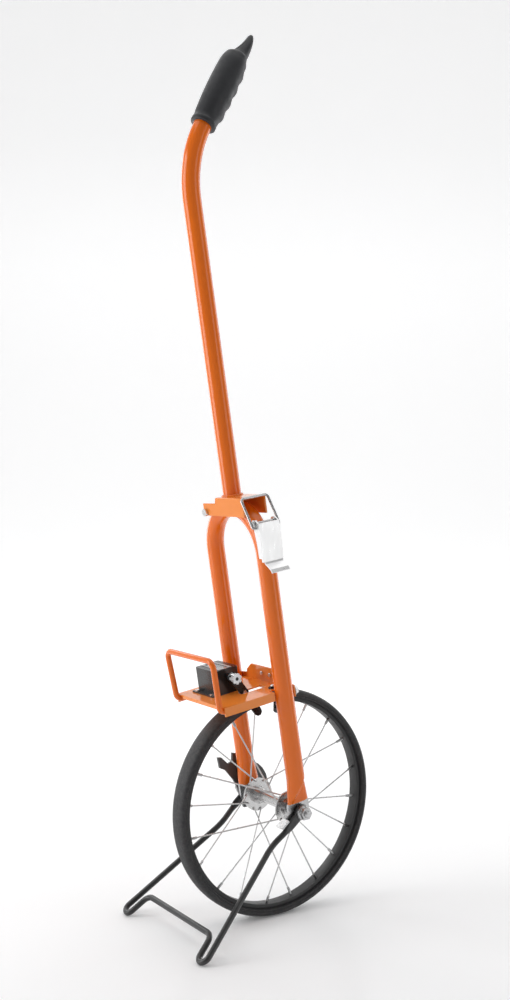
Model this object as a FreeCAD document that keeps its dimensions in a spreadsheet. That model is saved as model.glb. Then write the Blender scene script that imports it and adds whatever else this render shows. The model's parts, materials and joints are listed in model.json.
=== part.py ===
"""Measuring wheel: a one-metre wheel in a fork, with a folding handle, a stand and a counter.

Frame: X runs fore and aft (the stand is on the -X side), Y along the axle and Z up, with the
origin on the ground under the middle of the object. Sizes are in millimetres.

The fork leans back from the axle. Most parts are drawn in the fork's own frame, where Z runs up
the fork from the axle, X is square to it and Y is along the axle. Parts of the wheel are drawn
about the axle, and parts of the stand in the stand's frame, where X runs out along its legs.
"""
import FreeCAD, Part
import math
import os
import Sketcher

Vector = FreeCAD.Vector
Rotation = FreeCAD.Rotation
Placement = FreeCAD.Placement

doc = FreeCAD.newDocument("measuring_wheel")
sheet = doc.addObject("Spreadsheet::Sheet", "dims")


class Size:
    """A number together with the sheet formula that gives it."""

    def __init__(self, value, formula):
        self.value = float(value)
        self.formula = formula

    def join(self, other, sign, result):
        return Size(result, "(%s %s %s)" % (self.formula, sign, size(other).formula))

    def __add__(self, other):
        return self.join(other, "+", self.value + size(other).value)

    def __sub__(self, other):
        return self.join(other, "-", self.value - size(other).value)

    def __mul__(self, other):
        return self.join(other, "*", self.value * size(other).value)

    def __truediv__(self, other):
        return self.join(other, "/", self.value / size(other).value)

    def __radd__(self, other):
        return size(other) + self

    def __rsub__(self, other):
        return size(other) - self

    def __rmul__(self, other):
        return size(other) * self

    def __neg__(self):
        return Size(-self.value, "(0 - %s)" % self.formula)


def size(value):
    """A Size as it is, or a plain number as a Size with no sheet cell."""
    if isinstance(value, Size):
        return value
    return Size(value, "(%r)" % float(value))


def fill_sheet(rows):
    """Write the driving dimensions to the sheet and return them by name."""
    sizes = {}
    for row, (name, value, note) in enumerate(rows, start=1):
        sheet.set("A%d" % row, note)
        sheet.set("B%d" % row, repr(float(value)))
        sheet.setAlias("B%d" % row, name)
        sizes[name] = Size(value, "dims." + name)
    return sizes


D = fill_sheet([
    ("wheel_radius", 500 / math.pi, "outside radius of the tyre, one metre round"),
    ("axle_x", 12.0, "axle forward of the middle of the object"),
    ("lean", 10.0, "fork's lean back from upright, degrees"),
    ("tube_radius", 12.7, "outside radius of the fork and handle tube"),
    ("tube_wall", 1.6, "tube wall"),
    ("fork_half", 62.8, "leg centre from the middle plane"),
    ("arch_height", 358.6, "centre of the fork's arch above the axle"),
    ("leg_round_end", 45.0, "height above the axle where the legs start to flatten"),
    ("leg_end", 14.0, "height of the legs' flattened ends"),
    ("leg_end_y", 61.0, "flattened end from the middle plane"),
    ("leg_end_width", 33.0, "width of a flattened end"),
    ("leg_end_depth", 10.0, "thickness of a flattened end"),
    ("dropout_plate", 4.0, "thickness of the axle plates"),
    ("axle_radius", 4.75, "axle radius"),
    ("running_gap", 0.05, "radial clearance of a running fit"),
    ("part_gap", 0.3, "gap between parts that pass each other"),
    ("tyre_half", 14.6, "half the width of the tyre"),
    ("rim_half", 9.15, "half the width of the rim"),
    ("rim_inner", 142.1, "inside radius of the rim"),
    ("rim_outer", 149.0, "outside radius of the rim's edges"),
    ("flange_radius", 23.5, "radius of the hub flanges"),
    ("flange_plate", 2.5, "thickness of the hub flanges"),
    ("flange_half", 39.5, "hub flange from the middle of the hub"),
    ("hub_middle", 1.5, "middle of the hub from the middle plane"),
    ("spoke_circle", 20.0, "radius of the spoke holes in the flanges"),
    ("spoke_radius", 1.0, "spoke radius"),
    ("spoke_phase", 4.9, "first spoke forward of upright, degrees"),
    ("stand_rod", 4.0, "radius of the stand's rod"),
    ("stand_reach", 237.0, "axle to the end of the stand's feet, rod centre"),
    ("foot_y", 100.0, "middle of each foot's bend from the middle plane"),
    ("foot_bend", 8.5, "bend radius of the feet"),
    ("flat_plate", 3.4, "thickness of the stand's flattened ends"),
    ("flat_width", 17.0, "width of the stand's flattened ends"),
    ("flat_y", 68.0, "middle of the flattened ends from the middle plane"),
    ("handle_y", 6.0, "handle from the middle plane"),
    ("handle_b", 4.0, "handle forward of the fork's centre line"),
    ("handle_bend", 165.0, "bend radius of the handle"),
    ("handle_turn", 36.7, "turn of the handle's bend, degrees"),
    ("bend_start", 838.0, "start of the handle's bend above the axle"),
    ("grip_length", 119.0, "length of the grip's body"),
    ("channel_top", 437.0, "top of the hinge channel above the axle"),
    ("channel_depth", 25.5, "depth of the hinge channel"),
    ("channel_sheet", 2.5, "sheet of the hinge channel"),
    ("channel_rear", 18.0, "back of the channel from the fork's centre line"),
    ("channel_front", 20.0, "front of the channel from the fork's centre line"),
    ("channel_near", 51.0, "near end of the channel from the middle plane"),
    ("channel_far", 50.5, "far end of the channel from the middle plane"),
    ("hinge_y", 45.0, "hinge bolt from the middle plane"),
    ("hinge_a", 416.0, "hinge bolt above the axle"),
    ("hinge_radius", 3.0, "hinge bolt radius"),
    ("latch_a", 403.0, "latch pin above the axle"),
    ("latch_y", 71.0, "latch pin from the middle plane"),
    ("latch_radius", 2.5, "latch pin radius"),
    ("latch_half", 16.7, "half the width of the latch lever"),
    ("latch_sheet", 1.5, "sheet of the latch"),
    ("bail_radius", 1.75, "radius of the bail's wire"),
    ("bail_half", 21.5, "bail's arms from the fork's centre line"),
    ("tray_top", 172.0, "top of the platform above the axle"),
    ("tray_sheet", 2.0, "sheet of the platform"),
    ("tray_half", 62.5, "half the width of the platform"),
    ("tray_front", 95.0, "outer edge of the platform behind the fork's centre line"),
    ("tray_depth", 12.0, "depth of the platform's flanges"),
    ("guard_radius", 4.0, "radius of the guard's rod"),
    ("guard_top", 236.0, "top of the guard above the axle"),
    ("counter_shaft_b", 50.5, "counter's shaft behind the fork's centre line"),
    ("counter_shaft_a", 195.3, "counter's shaft above the axle"),
    ("counter_top", 206.0, "top of the counter above the axle"),
    ("counter_near", 5.0, "near side of the counter from the middle plane"),
    ("counter_far", 47.0, "far side of the counter from the middle plane"),
    ("counter_half", 19.0, "half the depth of the counter"),
    ("counter_wall", 2.0, "wall of the counter's housing"),
    ("drum_radius", 8.0, "radius of the digit drums"),
    ("drum_width", 7.6, "width of a digit drum"),
    ("drum_pitch", 8.0, "spacing of the digit drums"),
    ("shaft_radius", 2.5, "radius of the counter's shaft"),
    ("lever_y", 20.0, "middle of the counter's lever from the middle plane"),
    ("lever_plate", 3.0, "thickness of the counter's lever"),
    ("lever_lean", 30.5, "lever's lean from the fork's line, degrees"),
])

UP = Vector(0, 0, 1)
ALONG = Vector(0, 1, 0)
FORWARD = Vector(1, 0, 0)
NODES = []

# Smaller sizes. Heights are above the axle, along the fork, and B is forward of its centre line.
TONGUE_HALF = 11.0              # half the width of a dropout's tongue inside the leg
TONGUE_DEPTH = 16.0
STOP_LIP = 10.0                 # how far the stand's stop reaches out
BUSH_RADIUS = size(4.5)         # outside of the hinge bush
BUSH_LENGTH = size(28.0)
BOLT_A = 167.0                  # height of the bracket bolts
BOLT_RADIUS = 3.0

AXLE_NEAR = size(83.0)          # ends of the axle from the middle plane
AXLE_FAR = size(92.0)
AXLE_TIP = size(4.25)           # radius of the turned-down tips past the nuts
LOCKNUT = size(5.0)
WASHER = size(1.5)
NUT = size(8.0)
STAND_BUSH = size(6.2)          # outside of the bushes that the stand turns on
PEDAL_Y = size(76.0)            # inner face of the pedal
PEDAL_PLATE = size(4.0)
PEDAL_RADIUS = 41.5

CONE_NECK = size(5.4)
CONE_FLANGE = size(8.6)
BARREL = size(7.5)              # hub between its flanges
CUP_SEAT = size(10.5)
BALL_CIRCLE = size(7.4)
BALLS_PER_SIDE = 9
SPOKE_HOLE = size(1.2)
HOLES_PER_FLANGE = 10
SPOKE_STEP = 18.0               # degrees from a hole to the next one on the other flange
STRIKER_FOOT = size(127.0)      # inner end of the lug that trips the counter
NIPPLE_LENGTH = 11.0
NIPPLE_RADIUS = size(1.9)

STAND_BAR = 202.0               # cross bar of the stand from the axle
STAND_KNEE = (62.0, 63.5)       # where each leg starts to spread, from the axle and outward
KNEE_BEND = 60.0
BAR_BEND = 14.0
EYE_RADIUS = 11.0
TONGUE_LENGTH = 42.0            # flattened end of the stand's rod

GRIP_BORE = 98.0                # depth of the tube inside the grip
SPUR_HALF = 6.5                 # half the thickness of the grip's spur

RIVETS = (360.0, 374.0)         # heights of the latch's rivets
LEVER_FACE = size(81.5)         # outer face of the latch lever from the middle plane
BAIL_END = (size(-74.5), size(397.5))
BAIL_TOP = (size(-53.6), size(437.0))

BRACKET_SHEET = size(2.0)
SPARE_HOLES = ((6.0, 27.0), (6.0, -19.0))
SCREW_RADIUS = size(1.5)
SCREWS = ((-74.5, 40.0), (-74.5, 2.0), (-27.5, 40.0), (-27.5, 2.0))

KNOB_OUT = size(25.0)           # outer face of the knob from the counter's near side
KNOB_LENGTH = size(7.5)
KNOB_RADIUS = size(7.6)
FLUTE_RADIUS = size(1.5)
FLUTES = 7
HUB_RADIUS = size(4.5)          # hub of the counter's lever
LEVER_RIVET = 27.8              # rivet from the counter's shaft, along the lever
FINGER_PLATE = size(2.4)


# ---------------------------------------------------------------- helpers

def bind(thing, **values):
    """Bind properties of a document object to sheet formulas."""
    for name, value in values.items():
        thing.setExpression(name, size(value).formula)


def place(thing, x=0, y=0, z=0, turn=None):
    """Place an object at sheet-bound coordinates, turned by a rotation."""
    spot = [size(x), size(y), size(z)]
    thing.Placement = Placement(Vector(*[part.value for part in spot]), turn or Rotation())
    for letter, part in zip("xyz", spot):
        thing.setExpression("Placement.Base." + letter, part.formula)
    return thing


def node(thing, label, frame="fork", at=None):
    """Name a finished sub-part and put it in its frame."""
    turns = {"fork": Rotation(ALONG, -D["lean"].value), "wheel": Rotation(),
             "stand": STAND_TURN}
    base = Placement(Vector(D["axle_x"].value, 0, D["wheel_radius"].value), turns[frame])
    thing.Placement = base.multiply(at) if at else base
    if at is None:
        thing.setExpression("Placement.Base.x", "dims.axle_x")
        thing.setExpression("Placement.Base.z", "dims.wheel_radius")
    thing.Label = label
    NODES.append(thing)
    return thing


def solid(kind, name, **values):
    """A Part primitive, its sizes bound to the sheet."""
    thing = doc.addObject("Part::" + kind, name)
    bind(thing, **values)
    return thing


def cylinder(name, radius, length, x=0, y=0, z=0, axis=UP):
    """A cylinder from a point along an axis."""
    rod = solid("Cylinder", name, Radius=radius, Height=length)
    return place(rod, x, y, z, Rotation(UP, axis))


def box(name, length, width, height, x=0, y=0, z=0):
    """A box from its lowest corner."""
    return place(solid("Box", name, Length=length, Width=width, Height=height), x, y, z)


def hexagon(name, radius, length, x=0, y=0, z=0, axis=UP):
    """A hexagonal prism, its corners on a circle."""
    prism = solid("Prism", name, Circumradius=radius, Height=length)
    prism.Polygon = 6
    return place(prism, x, y, z, Rotation(UP, axis))


def cut(base, tool, name):
    """One solid less another."""
    result = doc.addObject("Part::Cut", name)
    result.Base = base
    result.Tool = tool
    return result


def fuse(shapes, name):
    """Several solids joined to one."""
    result = doc.addObject("Part::MultiFuse", name)
    result.Shapes = shapes
    return result


def group(shapes, name):
    """Several separate solids kept together."""
    result = doc.addObject("Part::Compound", name)
    result.Links = shapes
    return result


def ring(name, outer, inner, length, x=0, y=0, z=0, axis=ALONG):
    """A plain ring: a cylinder with a bore."""
    body = cylinder(name + "_body", outer, length, x, y, z, axis)
    bore = cylinder(name + "_bore", inner, length, x, y, z, axis)
    return cut(body, bore, name)


def new_body(name):
    """An empty PartDesign body."""
    return doc.addObject("PartDesign::Body", name)


def new_sketch(body, plane, offset=0):
    """A sketch on one of a body's origin planes, moved along its normal."""
    sketch = body.newObject("Sketcher::SketchObject", body.Name + "_sketch")
    planes = [item for item in body.Origin.OriginFeatures if item.Role == plane + "_Plane"]
    sketch.AttachmentSupport = [(planes[0], "")]
    sketch.MapMode = "FlatFace"
    sketch.AttachmentOffset = Placement(Vector(0, 0, size(offset).value), Rotation())
    sketch.setExpression("AttachmentOffset.Base.z", size(offset).formula)
    return sketch


def pin_point(sketch, edge, point, x, y):
    """Fix a point of a sketch at sheet-bound coordinates."""
    for letter, value in (("X", size(x)), ("Y", size(y))):
        rule = Sketcher.Constraint("Distance" + letter, -1, 1, edge, point, value.value)
        index = sketch.addConstraint(rule)
        sketch.setExpression("Constraints[%d]" % index, value.formula)


def outline(sketch, points):
    """A closed outline of straight edges."""
    spots = [Vector(size(x).value, size(y).value, 0) for x, y in points]
    first = None
    for start, end in zip(spots, spots[1:] + spots[:1]):
        edge = sketch.addGeometry(Part.LineSegment(start, end), False)
        if first is None:
            first = edge
    count = len(points)
    for i in range(count):
        following = first + (i + 1) % count
        sketch.addConstraint(Sketcher.Constraint("Coincident", first + i, 2, following, 1))
    for i, (x, y) in enumerate(points):
        pin_point(sketch, first + i, 1, x, y)
    return sketch


def rectangle(sketch, x0, y0, x1, y1):
    """A rectangle between two corners."""
    return outline(sketch, [(x0, y0), (x1, y0), (x1, y1), (x0, y1)])


def circle(sketch, x, y, radius):
    """A circle about a point."""
    middle = Vector(size(x).value, size(y).value, 0)
    edge = sketch.addGeometry(Part.Circle(middle, UP, size(radius).value), False)
    pin_point(sketch, edge, 3, x, y)
    index = sketch.addConstraint(Sketcher.Constraint("Radius", edge, size(radius).value))
    sketch.setExpression("Constraints[%d]" % index, size(radius).formula)
    return sketch


def ellipse(sketch, x, y, half_x, half_y):
    """An ellipse, longer along the sketch's X."""
    middle = Vector(size(x).value, size(y).value, 0)
    shape = Part.Ellipse(middle, size(half_x).value, size(half_y).value)
    edge = sketch.addGeometry(shape, False)
    sketch.exposeInternalGeometry(edge)
    pin_point(sketch, edge, 3, x, y)
    sketch.addConstraint(Sketcher.Constraint("Horizontal", edge + 1))
    for line, value in ((edge + 1, size(half_x) * 2), (edge + 2, size(half_y) * 2)):
        index = sketch.addConstraint(Sketcher.Constraint("Distance", line, value.value))
        sketch.setExpression("Constraints[%d]" % index, value.formula)
    return sketch


def feature(body, kind, profile, **values):
    """A sketch-based feature of a body, its sizes bound to the sheet."""
    step = body.newObject("PartDesign::" + kind, body.Name + "_" + kind.lower())
    step.Profile = profile
    bind(step, **values)
    return step


def pad(body, profile, length, reverse=False):
    """Extrude a sketch."""
    step = feature(body, "Pad", profile, Length=length)
    step.Reversed = reverse
    return step


def pocket(body, profile, length, reverse=False):
    """Cut a sketch's outline out of the body and check that it cuts."""
    doc.recompute()
    before = body.Shape.Volume
    step = feature(body, "Pocket", profile, Length=length)
    step.Reversed = reverse
    doc.recompute()
    if body.Shape.Volume > before - 1:
        raise ValueError("a pocket of %s cuts nothing: %s" % (body.Name, step.State))
    return step


def revolve(body, profile):
    """Turn a sketch round its horizontal axis, which is the axle's line."""
    step = body.newObject("PartDesign::Revolution", body.Name + "_revolution")
    step.Profile = profile
    step.ReferenceAxis = (profile, ["H_Axis"])
    step.Angle = 360
    return step


def turned(name, points):
    """A body turned about the Y axis from an outline of (y, radius) points."""
    body = new_body(name)
    revolve(body, outline(new_sketch(body, "YZ"), points))
    return body


def plate(name, points, thickness, y):
    """A plate square to the Y axis, its outline given as (x, z), from y towards +Y."""
    body = new_body(name)
    sketch = outline(new_sketch(body, "XZ", -size(y)), points)
    pad(body, sketch, thickness, reverse=True)
    return body


def rounded(body, radius, pick):
    """Fillet the edges of a body that a test picks."""
    doc.recompute()
    names = ["Edge%d" % (i + 1) for i, edge in enumerate(body.Shape.Edges) if pick(edge)]
    base = body.Tip
    step = body.newObject("PartDesign::Fillet", body.Name + "_fillet")
    step.Base = (base, names)
    bind(step, Radius=radius)
    return body


def runs_along(edge, direction):
    """True for a straight edge parallel to a direction."""
    if not isinstance(edge.Curve, Part.Line):
        return False
    return abs(abs(edge.Curve.Direction.dot(direction)) - 1) < 1e-6


def bent_wire(points, bends):
    """A path of straight runs with a tangent arc at each inner point."""
    edges = []
    start = points[0]
    for before, corner, after, bend in zip(points, points[1:], points[2:], bends):
        back = (before - corner).normalize()
        ahead = (after - corner).normalize()
        half = back.getAngle(ahead) / 2
        reach = bend / math.tan(half)
        entry = corner + back * reach
        leave = corner + ahead * reach
        middle = corner + (back + ahead).normalize() * (bend / math.sin(half) - bend)
        edges.append(Part.LineSegment(start, entry).toShape())
        edges.append(Part.Arc(entry, middle, leave).toShape())
        start = leave
    edges.append(Part.LineSegment(start, points[-1]).toShape())
    return Part.Wire(edges)


def rod_along(wire, radius):
    """A round rod along a path."""
    first = wire.Edges[0]
    start = first.valueAt(first.FirstParameter)
    direction = first.tangentAt(first.FirstParameter)
    profile = Part.Wire([Part.makeCircle(radius, start, direction)])
    return wire.makePipeShell([profile], True, False)


def bent_rod(name, points, bends, radius):
    """A bent rod as a feature of its own, for a path that leaves any one plane."""
    rod = doc.addObject("Part::Feature", name)
    rod.Shape = rod_along(bent_wire(points, bends), size(radius).value)
    return rod


# The stand's legs slope down so that its feet rest on the ground with the tyre.
STAND_SLOPE = math.degrees(math.asin(
    (D["wheel_radius"].value - D["stand_rod"].value) / D["stand_reach"].value))
STAND_TURN = Rotation(ALONG, 180 - STAND_SLOPE)


# ---------------------------------------------------------------- fork

def fork_tube():
    """One tube bent to an arch, its two ends flattened, with a bore for the hinge bush."""
    body = new_body("fork_tube_body")
    path = new_sketch(body, "YZ")
    half = D["fork_half"]
    arch = D["arch_height"]
    foot = D["leg_round_end"]
    left = Vector(-half.value, arch.value, 0)
    right = Vector(half.value, arch.value, 0)
    path.addGeometry(Part.LineSegment(Vector(-half.value, foot.value, 0), left), False)
    top = Vector(0, arch.value + half.value, 0)
    path.addGeometry(Part.Arc(left, top, right), False)
    path.addGeometry(Part.LineSegment(right, Vector(half.value, foot.value, 0)), False)
    path.addConstraint(Sketcher.Constraint("Tangent", 0, 2, 1, 2))
    path.addConstraint(Sketcher.Constraint("Tangent", 1, 1, 2, 1))
    pin_point(path, 0, 1, -half, foot)
    pin_point(path, 1, 3, 0, arch)
    pin_point(path, 2, 2, half, foot)
    section = new_sketch(body, "XY", foot)
    circle(section, 0, -half, D["tube_radius"])
    circle(section, 0, -half, D["tube_radius"] - D["tube_wall"])
    pipe = body.newObject("PartDesign::AdditivePipe", "fork_tube_pipe")
    pipe.Profile = section
    pipe.Spine = (path, ["Edge1", "Edge2", "Edge3"])
    doc.recompute()
    for side in (-1, 1):
        upper = circle(new_sketch(body, "XY", foot), 0, half * side, D["tube_radius"])
        lower = ellipse(new_sketch(body, "XY", D["leg_end"]), 0, D["leg_end_y"] * side,
                        D["leg_end_width"] / 2, D["leg_end_depth"] / 2)
        loft = body.newObject("PartDesign::AdditiveLoft", "leg_end_loft")
        loft.Profile = upper
        loft.Sections = [lower]
        doc.recompute()
    slot = new_sketch(body, "XY", D["leg_end"])
    edge = D["dropout_plate"] / 2
    for side in (-1, 1):
        middle = D["leg_end_y"] * side
        rectangle(slot, -TONGUE_HALF, middle - edge, TONGUE_HALF, middle + edge)
    pocket(body, slot, TONGUE_DEPTH, reverse=True)
    bore = new_sketch(body, "YZ", -D["tube_radius"] * 2)
    circle(bore, D["hinge_y"], D["hinge_a"], BUSH_RADIUS)
    pocket(body, bore, D["tube_radius"] * 4, reverse=True)
    holes = new_sketch(body, "YZ", 0)
    for side in (-1, 1):
        circle(holes, half * side, BOLT_A, BOLT_RADIUS)
    pocket(body, holes, D["tube_radius"] * 2, reverse=True)
    return body


def fork_parts():
    """The fork with the plates that hold the axle and the bush of the handle's hinge."""
    node(fork_tube(), "fork_tube")
    for side, name in ((-1, "dropout_near"), (1, "dropout_far")):
        dropout(side, name)
    bush = ring("hinge_bush_ring", BUSH_RADIUS, D["hinge_radius"], BUSH_LENGTH,
                -BUSH_LENGTH / 2, D["hinge_y"], D["hinge_a"], FORWARD)
    node(bush, "hinge_bush")


def dropout(side, name):
    """The axle plate of one leg, open below for the axle; the near one has the stand's stop."""
    end = D["leg_end"]
    top = end + TONGUE_DEPTH
    slot = D["axle_radius"]
    points = [(-TONGUE_HALF, top), (TONGUE_HALF, top), (TONGUE_HALF, end), (16.5, end),
              (15, -4), (11, -13), (slot, -15), (slot, 0), (-slot, 0), (-slot, -15),
              (-11, -14), (-17, -8)]
    if side < 0:
        points += [(-37.3, -11.5), (-38.9, -9.0), (-26.8, -1.9), (-19, 5)]
    points += [(-17.5, end), (-TONGUE_HALF, end)]
    y = D["leg_end_y"] * side - D["dropout_plate"] / 2
    body = plate(name + "_body", points, D["dropout_plate"], y)
    seat = new_sketch(body, "XZ", -(y + D["dropout_plate"]))
    circle(seat, 0, 0, slot)
    pocket(body, seat, D["dropout_plate"], reverse=True)
    if side < 0:
        lip = new_sketch(body, "XZ", -y)
        outline(lip, [(-25.3, -4.4), (-37.3, -11.5), (-38.9, -9.0), (-26.8, -1.9)])
        pad(body, lip, STOP_LIP)
    node(body, name)


# ---------------------------------------------------------------- axle and hub

def axle_parts():
    """The fixed axle with its cones, locknuts, spacers, bushes, washers and nuts."""
    axle = D["axle_radius"]
    near_end = D["flat_y"] + D["flat_plate"] / 2 + D["part_gap"]
    far_end = PEDAL_Y + PEDAL_PLATE + D["part_gap"]
    near_nut = near_end + WASHER + NUT
    far_nut = far_end + WASHER + NUT
    rod = cylinder("axle_rod", axle, near_nut + far_nut, 0, -near_nut, 0, ALONG)
    tip = cylinder("axle_tip", AXLE_TIP, AXLE_NEAR + AXLE_FAR, 0, -AXLE_NEAR, 0, ALONG)
    node(fuse([rod, tip], "axle_shape"), "axle", "wheel")
    plate_in = D["leg_end_y"] - D["dropout_plate"] / 2
    plate_out = D["leg_end_y"] + D["dropout_plate"] / 2
    cone_end = size(48.0)
    cones = []
    locknuts = []
    spacers = []
    for side in (-1, 1):
        neck = hub_ring("cone_neck", side, CONE_NECK, axle, 37.0, 43.1)
        flange = hub_ring("cone_flange", side, CONE_FLANGE, axle, 43.1, cone_end)
        cones.append(fuse([neck, flange], "cone"))
        inner = cone_end + D["hub_middle"] * side
        locknuts.append(axle_nut("locknut", side, 8.6, inner, LOCKNUT))
        spacers.append(side_ring("spacer", side, 6.5, axle, inner + LOCKNUT,
                                 plate_in - cone_end - LOCKNUT - D["hub_middle"] * side))
    node(group(cones, "cones"), "hub_cones", "wheel")
    node(group(locknuts, "locknuts"), "cone_locknuts", "wheel")
    node(group(spacers, "spacers"), "axle_spacers", "wheel")
    bushes = []
    washers = []
    nuts = []
    for side, end in ((-1, near_end), (1, far_end)):
        bushes.append(side_ring("stand_bush", side, STAND_BUSH, axle, plate_out,
                                end - plate_out))
        washers.append(side_ring("washer", side, 10.0, axle, end, WASHER))
        nuts.append(axle_nut("nut", side, 8.66, end + WASHER, NUT))
    node(group(bushes, "bushes"), "stand_bushes", "wheel")
    node(group(washers, "washers"), "axle_washers", "wheel")
    node(group(nuts, "nuts"), "axle_nuts", "wheel")


def side_ring(name, side, outer, inner, start, length):
    """A ring round the axle, from start outward on one side."""
    y = start if side > 0 else -(start + length)
    return ring(name, outer, inner, length, 0, y, 0)


def axle_nut(name, side, corner, start, length):
    """A hexagon nut round the axle, from start outward on one side."""
    y = start if side > 0 else -(start + length)
    body = hexagon(name + "_body", corner, length, 0, y, 0, ALONG)
    bore = cylinder(name + "_bore", D["axle_radius"], length, 0, y, 0, ALONG)
    return cut(body, bore, name)


def hub_ring(name, side, outer, inner, start, end):
    """A ring of the hub, between two distances from the hub's own middle."""
    middle = D["hub_middle"]
    if side > 0:
        y = middle + start
    else:
        y = middle - end
    return ring(name, outer, inner, size(end) - size(start), 0, y, 0)


def hub_parts():
    """The hub's shell, turned in one piece, and its bearings."""
    middle = D["hub_middle"]
    half = D["flange_half"]
    thick = D["flange_plate"] / 2
    edge = D["flange_radius"]
    sides = [(0, BARREL), (27.5, BARREL), (33.5, 12.2), (half - thick, 12.2),
             (half - thick, edge),
             (half + thick, edge), (half + thick, 12.5), (45.0, 12.5), (45.0, CUP_SEAT),
             (35.0, CUP_SEAT), (35.0, 5.2)]
    right = [(middle + y, radius) for y, radius in sides]
    left = [(middle - y, radius) for y, radius in reversed(sides)]
    shell = turned("hub_shell_body", left[:-1] + right)
    spot = D["spoke_circle"]
    for side in (1, -1):
        holes = new_sketch(shell, "XZ", -(middle + half * side + thick))
        for index in range(HOLES_PER_FLANGE):
            angle = math.radians(hub_hole_angle(index, side))
            circle(holes, spot * math.sin(angle), spot * math.cos(angle), SPOKE_HOLE)
        pocket(shell, holes, D["flange_plate"], reverse=True)
    node(shell, "hub_shell", "wheel")
    cups = []
    caps = []
    balls = []
    for side in (-1, 1):
        wall = hub_ring("cup_wall", side, CUP_SEAT, 9.6, 36.4, 44.0)
        web = hub_ring("cup_web", side, CUP_SEAT, 6.0, 35.0, 36.4)
        cups.append(fuse([wall, web], "cup"))
        caps.append(hub_ring("cap", side, CUP_SEAT, 8.9, 44.0, 45.0))
        for index in range(BALLS_PER_SIDE):
            angle = 2 * math.pi * index / BALLS_PER_SIDE
            ball = solid("Sphere", "ball", Radius=1.9)
            place(ball, BALL_CIRCLE * math.cos(angle), middle + 40.4 * side,
                  BALL_CIRCLE * math.sin(angle))
            balls.append(ball)
    node(group(cups, "cups"), "bearing_cups", "wheel")
    node(group(caps, "caps"), "dust_caps", "wheel")
    node(group(balls, "balls"), "bearing_balls", "wheel")


def hub_hole_angle(index, side):
    """Angle of a flange's hole from upright; the two flanges are half a hole apart."""
    shift = SPOKE_STEP if side > 0 else 0.0
    return D["spoke_phase"].value + shift + 2 * SPOKE_STEP * index


# ---------------------------------------------------------------- wheel

def wheel_parts():
    """Tyre, rim, laced spokes with their nipples, and the lug that trips the counter."""
    radius = D["wheel_radius"]
    rim_edge = D["rim_outer"]
    half = D["tyre_half"]
    tyre_side = [(7.6, 145.4), (7.6, rim_edge), (half - 2.2, rim_edge + 0.2),
                 (half, rim_edge + 2.6), (half, radius - 4.6), (half - 1.4, radius - 1.4),
                 (half - 4.6, radius)]
    mirror = [(-size(y), level) for y, level in reversed(tyre_side)]
    node(turned("tyre_body", tyre_side + mirror), "tyre", "wheel")
    inner = D["rim_inner"]
    side = D["rim_half"]
    rim_side = [(side - 2.2, inner), (side, inner + 1.6), (side, rim_edge),
                (side - 1.5, rim_edge), (side - 1.5, inner + 2.6), (side - 2.8, inner + 1.5)]
    mirror = [(-size(y), level) for y, level in reversed(rim_side)]
    rim = turned("rim_body", rim_side + mirror)
    shafts, nipples, sleeves = spokes()
    node(cut(rim, group(sleeves, "nipple_holes"), "rim_cut"), "rim", "wheel")
    node(group(shafts[-1], "spoke_set_near"), "spokes_near", "wheel")
    node(group(shafts[1], "spoke_set_far"), "spokes_far", "wheel")
    node(group(nipples, "nipple_set"), "spoke_nipples", "wheel")
    post = cylinder("striker_post", 2.5, inner - 0.03 - STRIKER_FOOT, 0, 0, STRIKER_FOOT)
    arm = box("striker_arm", 6.0, 22.5, 6.0, -3.0, -24.5, STRIKER_FOOT - 1.0)
    node(fuse([post, arm], "striker"), "trip_striker", "wheel")


def spokes():
    """Twenty spokes, each crossing its neighbour on the same flange once."""
    shafts = {-1: [], 1: []}
    nipples = []
    sleeves = []
    middle = D["hub_middle"]
    spot = D["spoke_circle"].value
    for side in (-1, 1):
        elbow_y = middle + side * (D["flange_half"] - D["flange_plate"] / 2 - 1.2)
        for index in range(HOLES_PER_FLANGE):
            rim_angle = math.radians(hub_hole_angle(index, side))
            crossed = index + 1 if index % 2 == 0 else index - 1
            hub_angle = math.radians(hub_hole_angle(crossed, side))
            start = Vector(spot * math.sin(hub_angle), elbow_y.value, spot * math.cos(hub_angle))
            end = Vector(143.2 * math.sin(rim_angle), 1.5 * side, 143.2 * math.cos(rim_angle))
            direction = (end - start).normalize()
            length = (end - start).Length
            joint = end - direction * NIPPLE_LENGTH
            shaft = cylinder("spoke", D["spoke_radius"], length - NIPPLE_LENGTH,
                             start.x, start.y, start.z, direction)
            elbow_length = D["flange_plate"] + 2.4
            low = start.y if side > 0 else start.y - elbow_length.value
            elbow = cylinder("elbow", D["spoke_radius"], elbow_length, start.x, low, start.z,
                             ALONG)
            head_y = start.y + side * (elbow_length.value + 0.4) - 0.5
            head = cylinder("head", 1.9, 1.0, start.x, head_y, start.z, ALONG)
            shafts[side].append(fuse([shaft, elbow, head], "spoke_shaft"))
            nipples.append(cylinder("nipple", NIPPLE_RADIUS, NIPPLE_LENGTH, joint.x, joint.y,
                                    joint.z, direction))
            sleeves.append(cylinder("sleeve", NIPPLE_RADIUS, NIPPLE_LENGTH + 2, joint.x, joint.y,
                                    joint.z, direction))
    return shafts, nipples, sleeves


# ---------------------------------------------------------------- stand

def stand_parts():
    """The stand: one bent rod with flattened ends, its spacer, and the far side's pedal."""
    rod = rod_along(stand_path(), D["stand_rod"].value)
    stand = doc.addObject("Part::Feature", "stand_shape")
    stand.Shape = rod.fuse([stand_eye(-1), stand_eye(1)]).removeSplitter()
    node(stand, "stand_rod", "stand")
    start = D["flat_y"] + D["flat_plate"] / 2
    spacer = ring("stand_spacer_ring", 10.0, STAND_BUSH + D["running_gap"], PEDAL_Y - start,
                  0, start, 0)
    node(spacer, "stand_spacer", "stand")
    node(pedal(), "stand_pedal")


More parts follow.
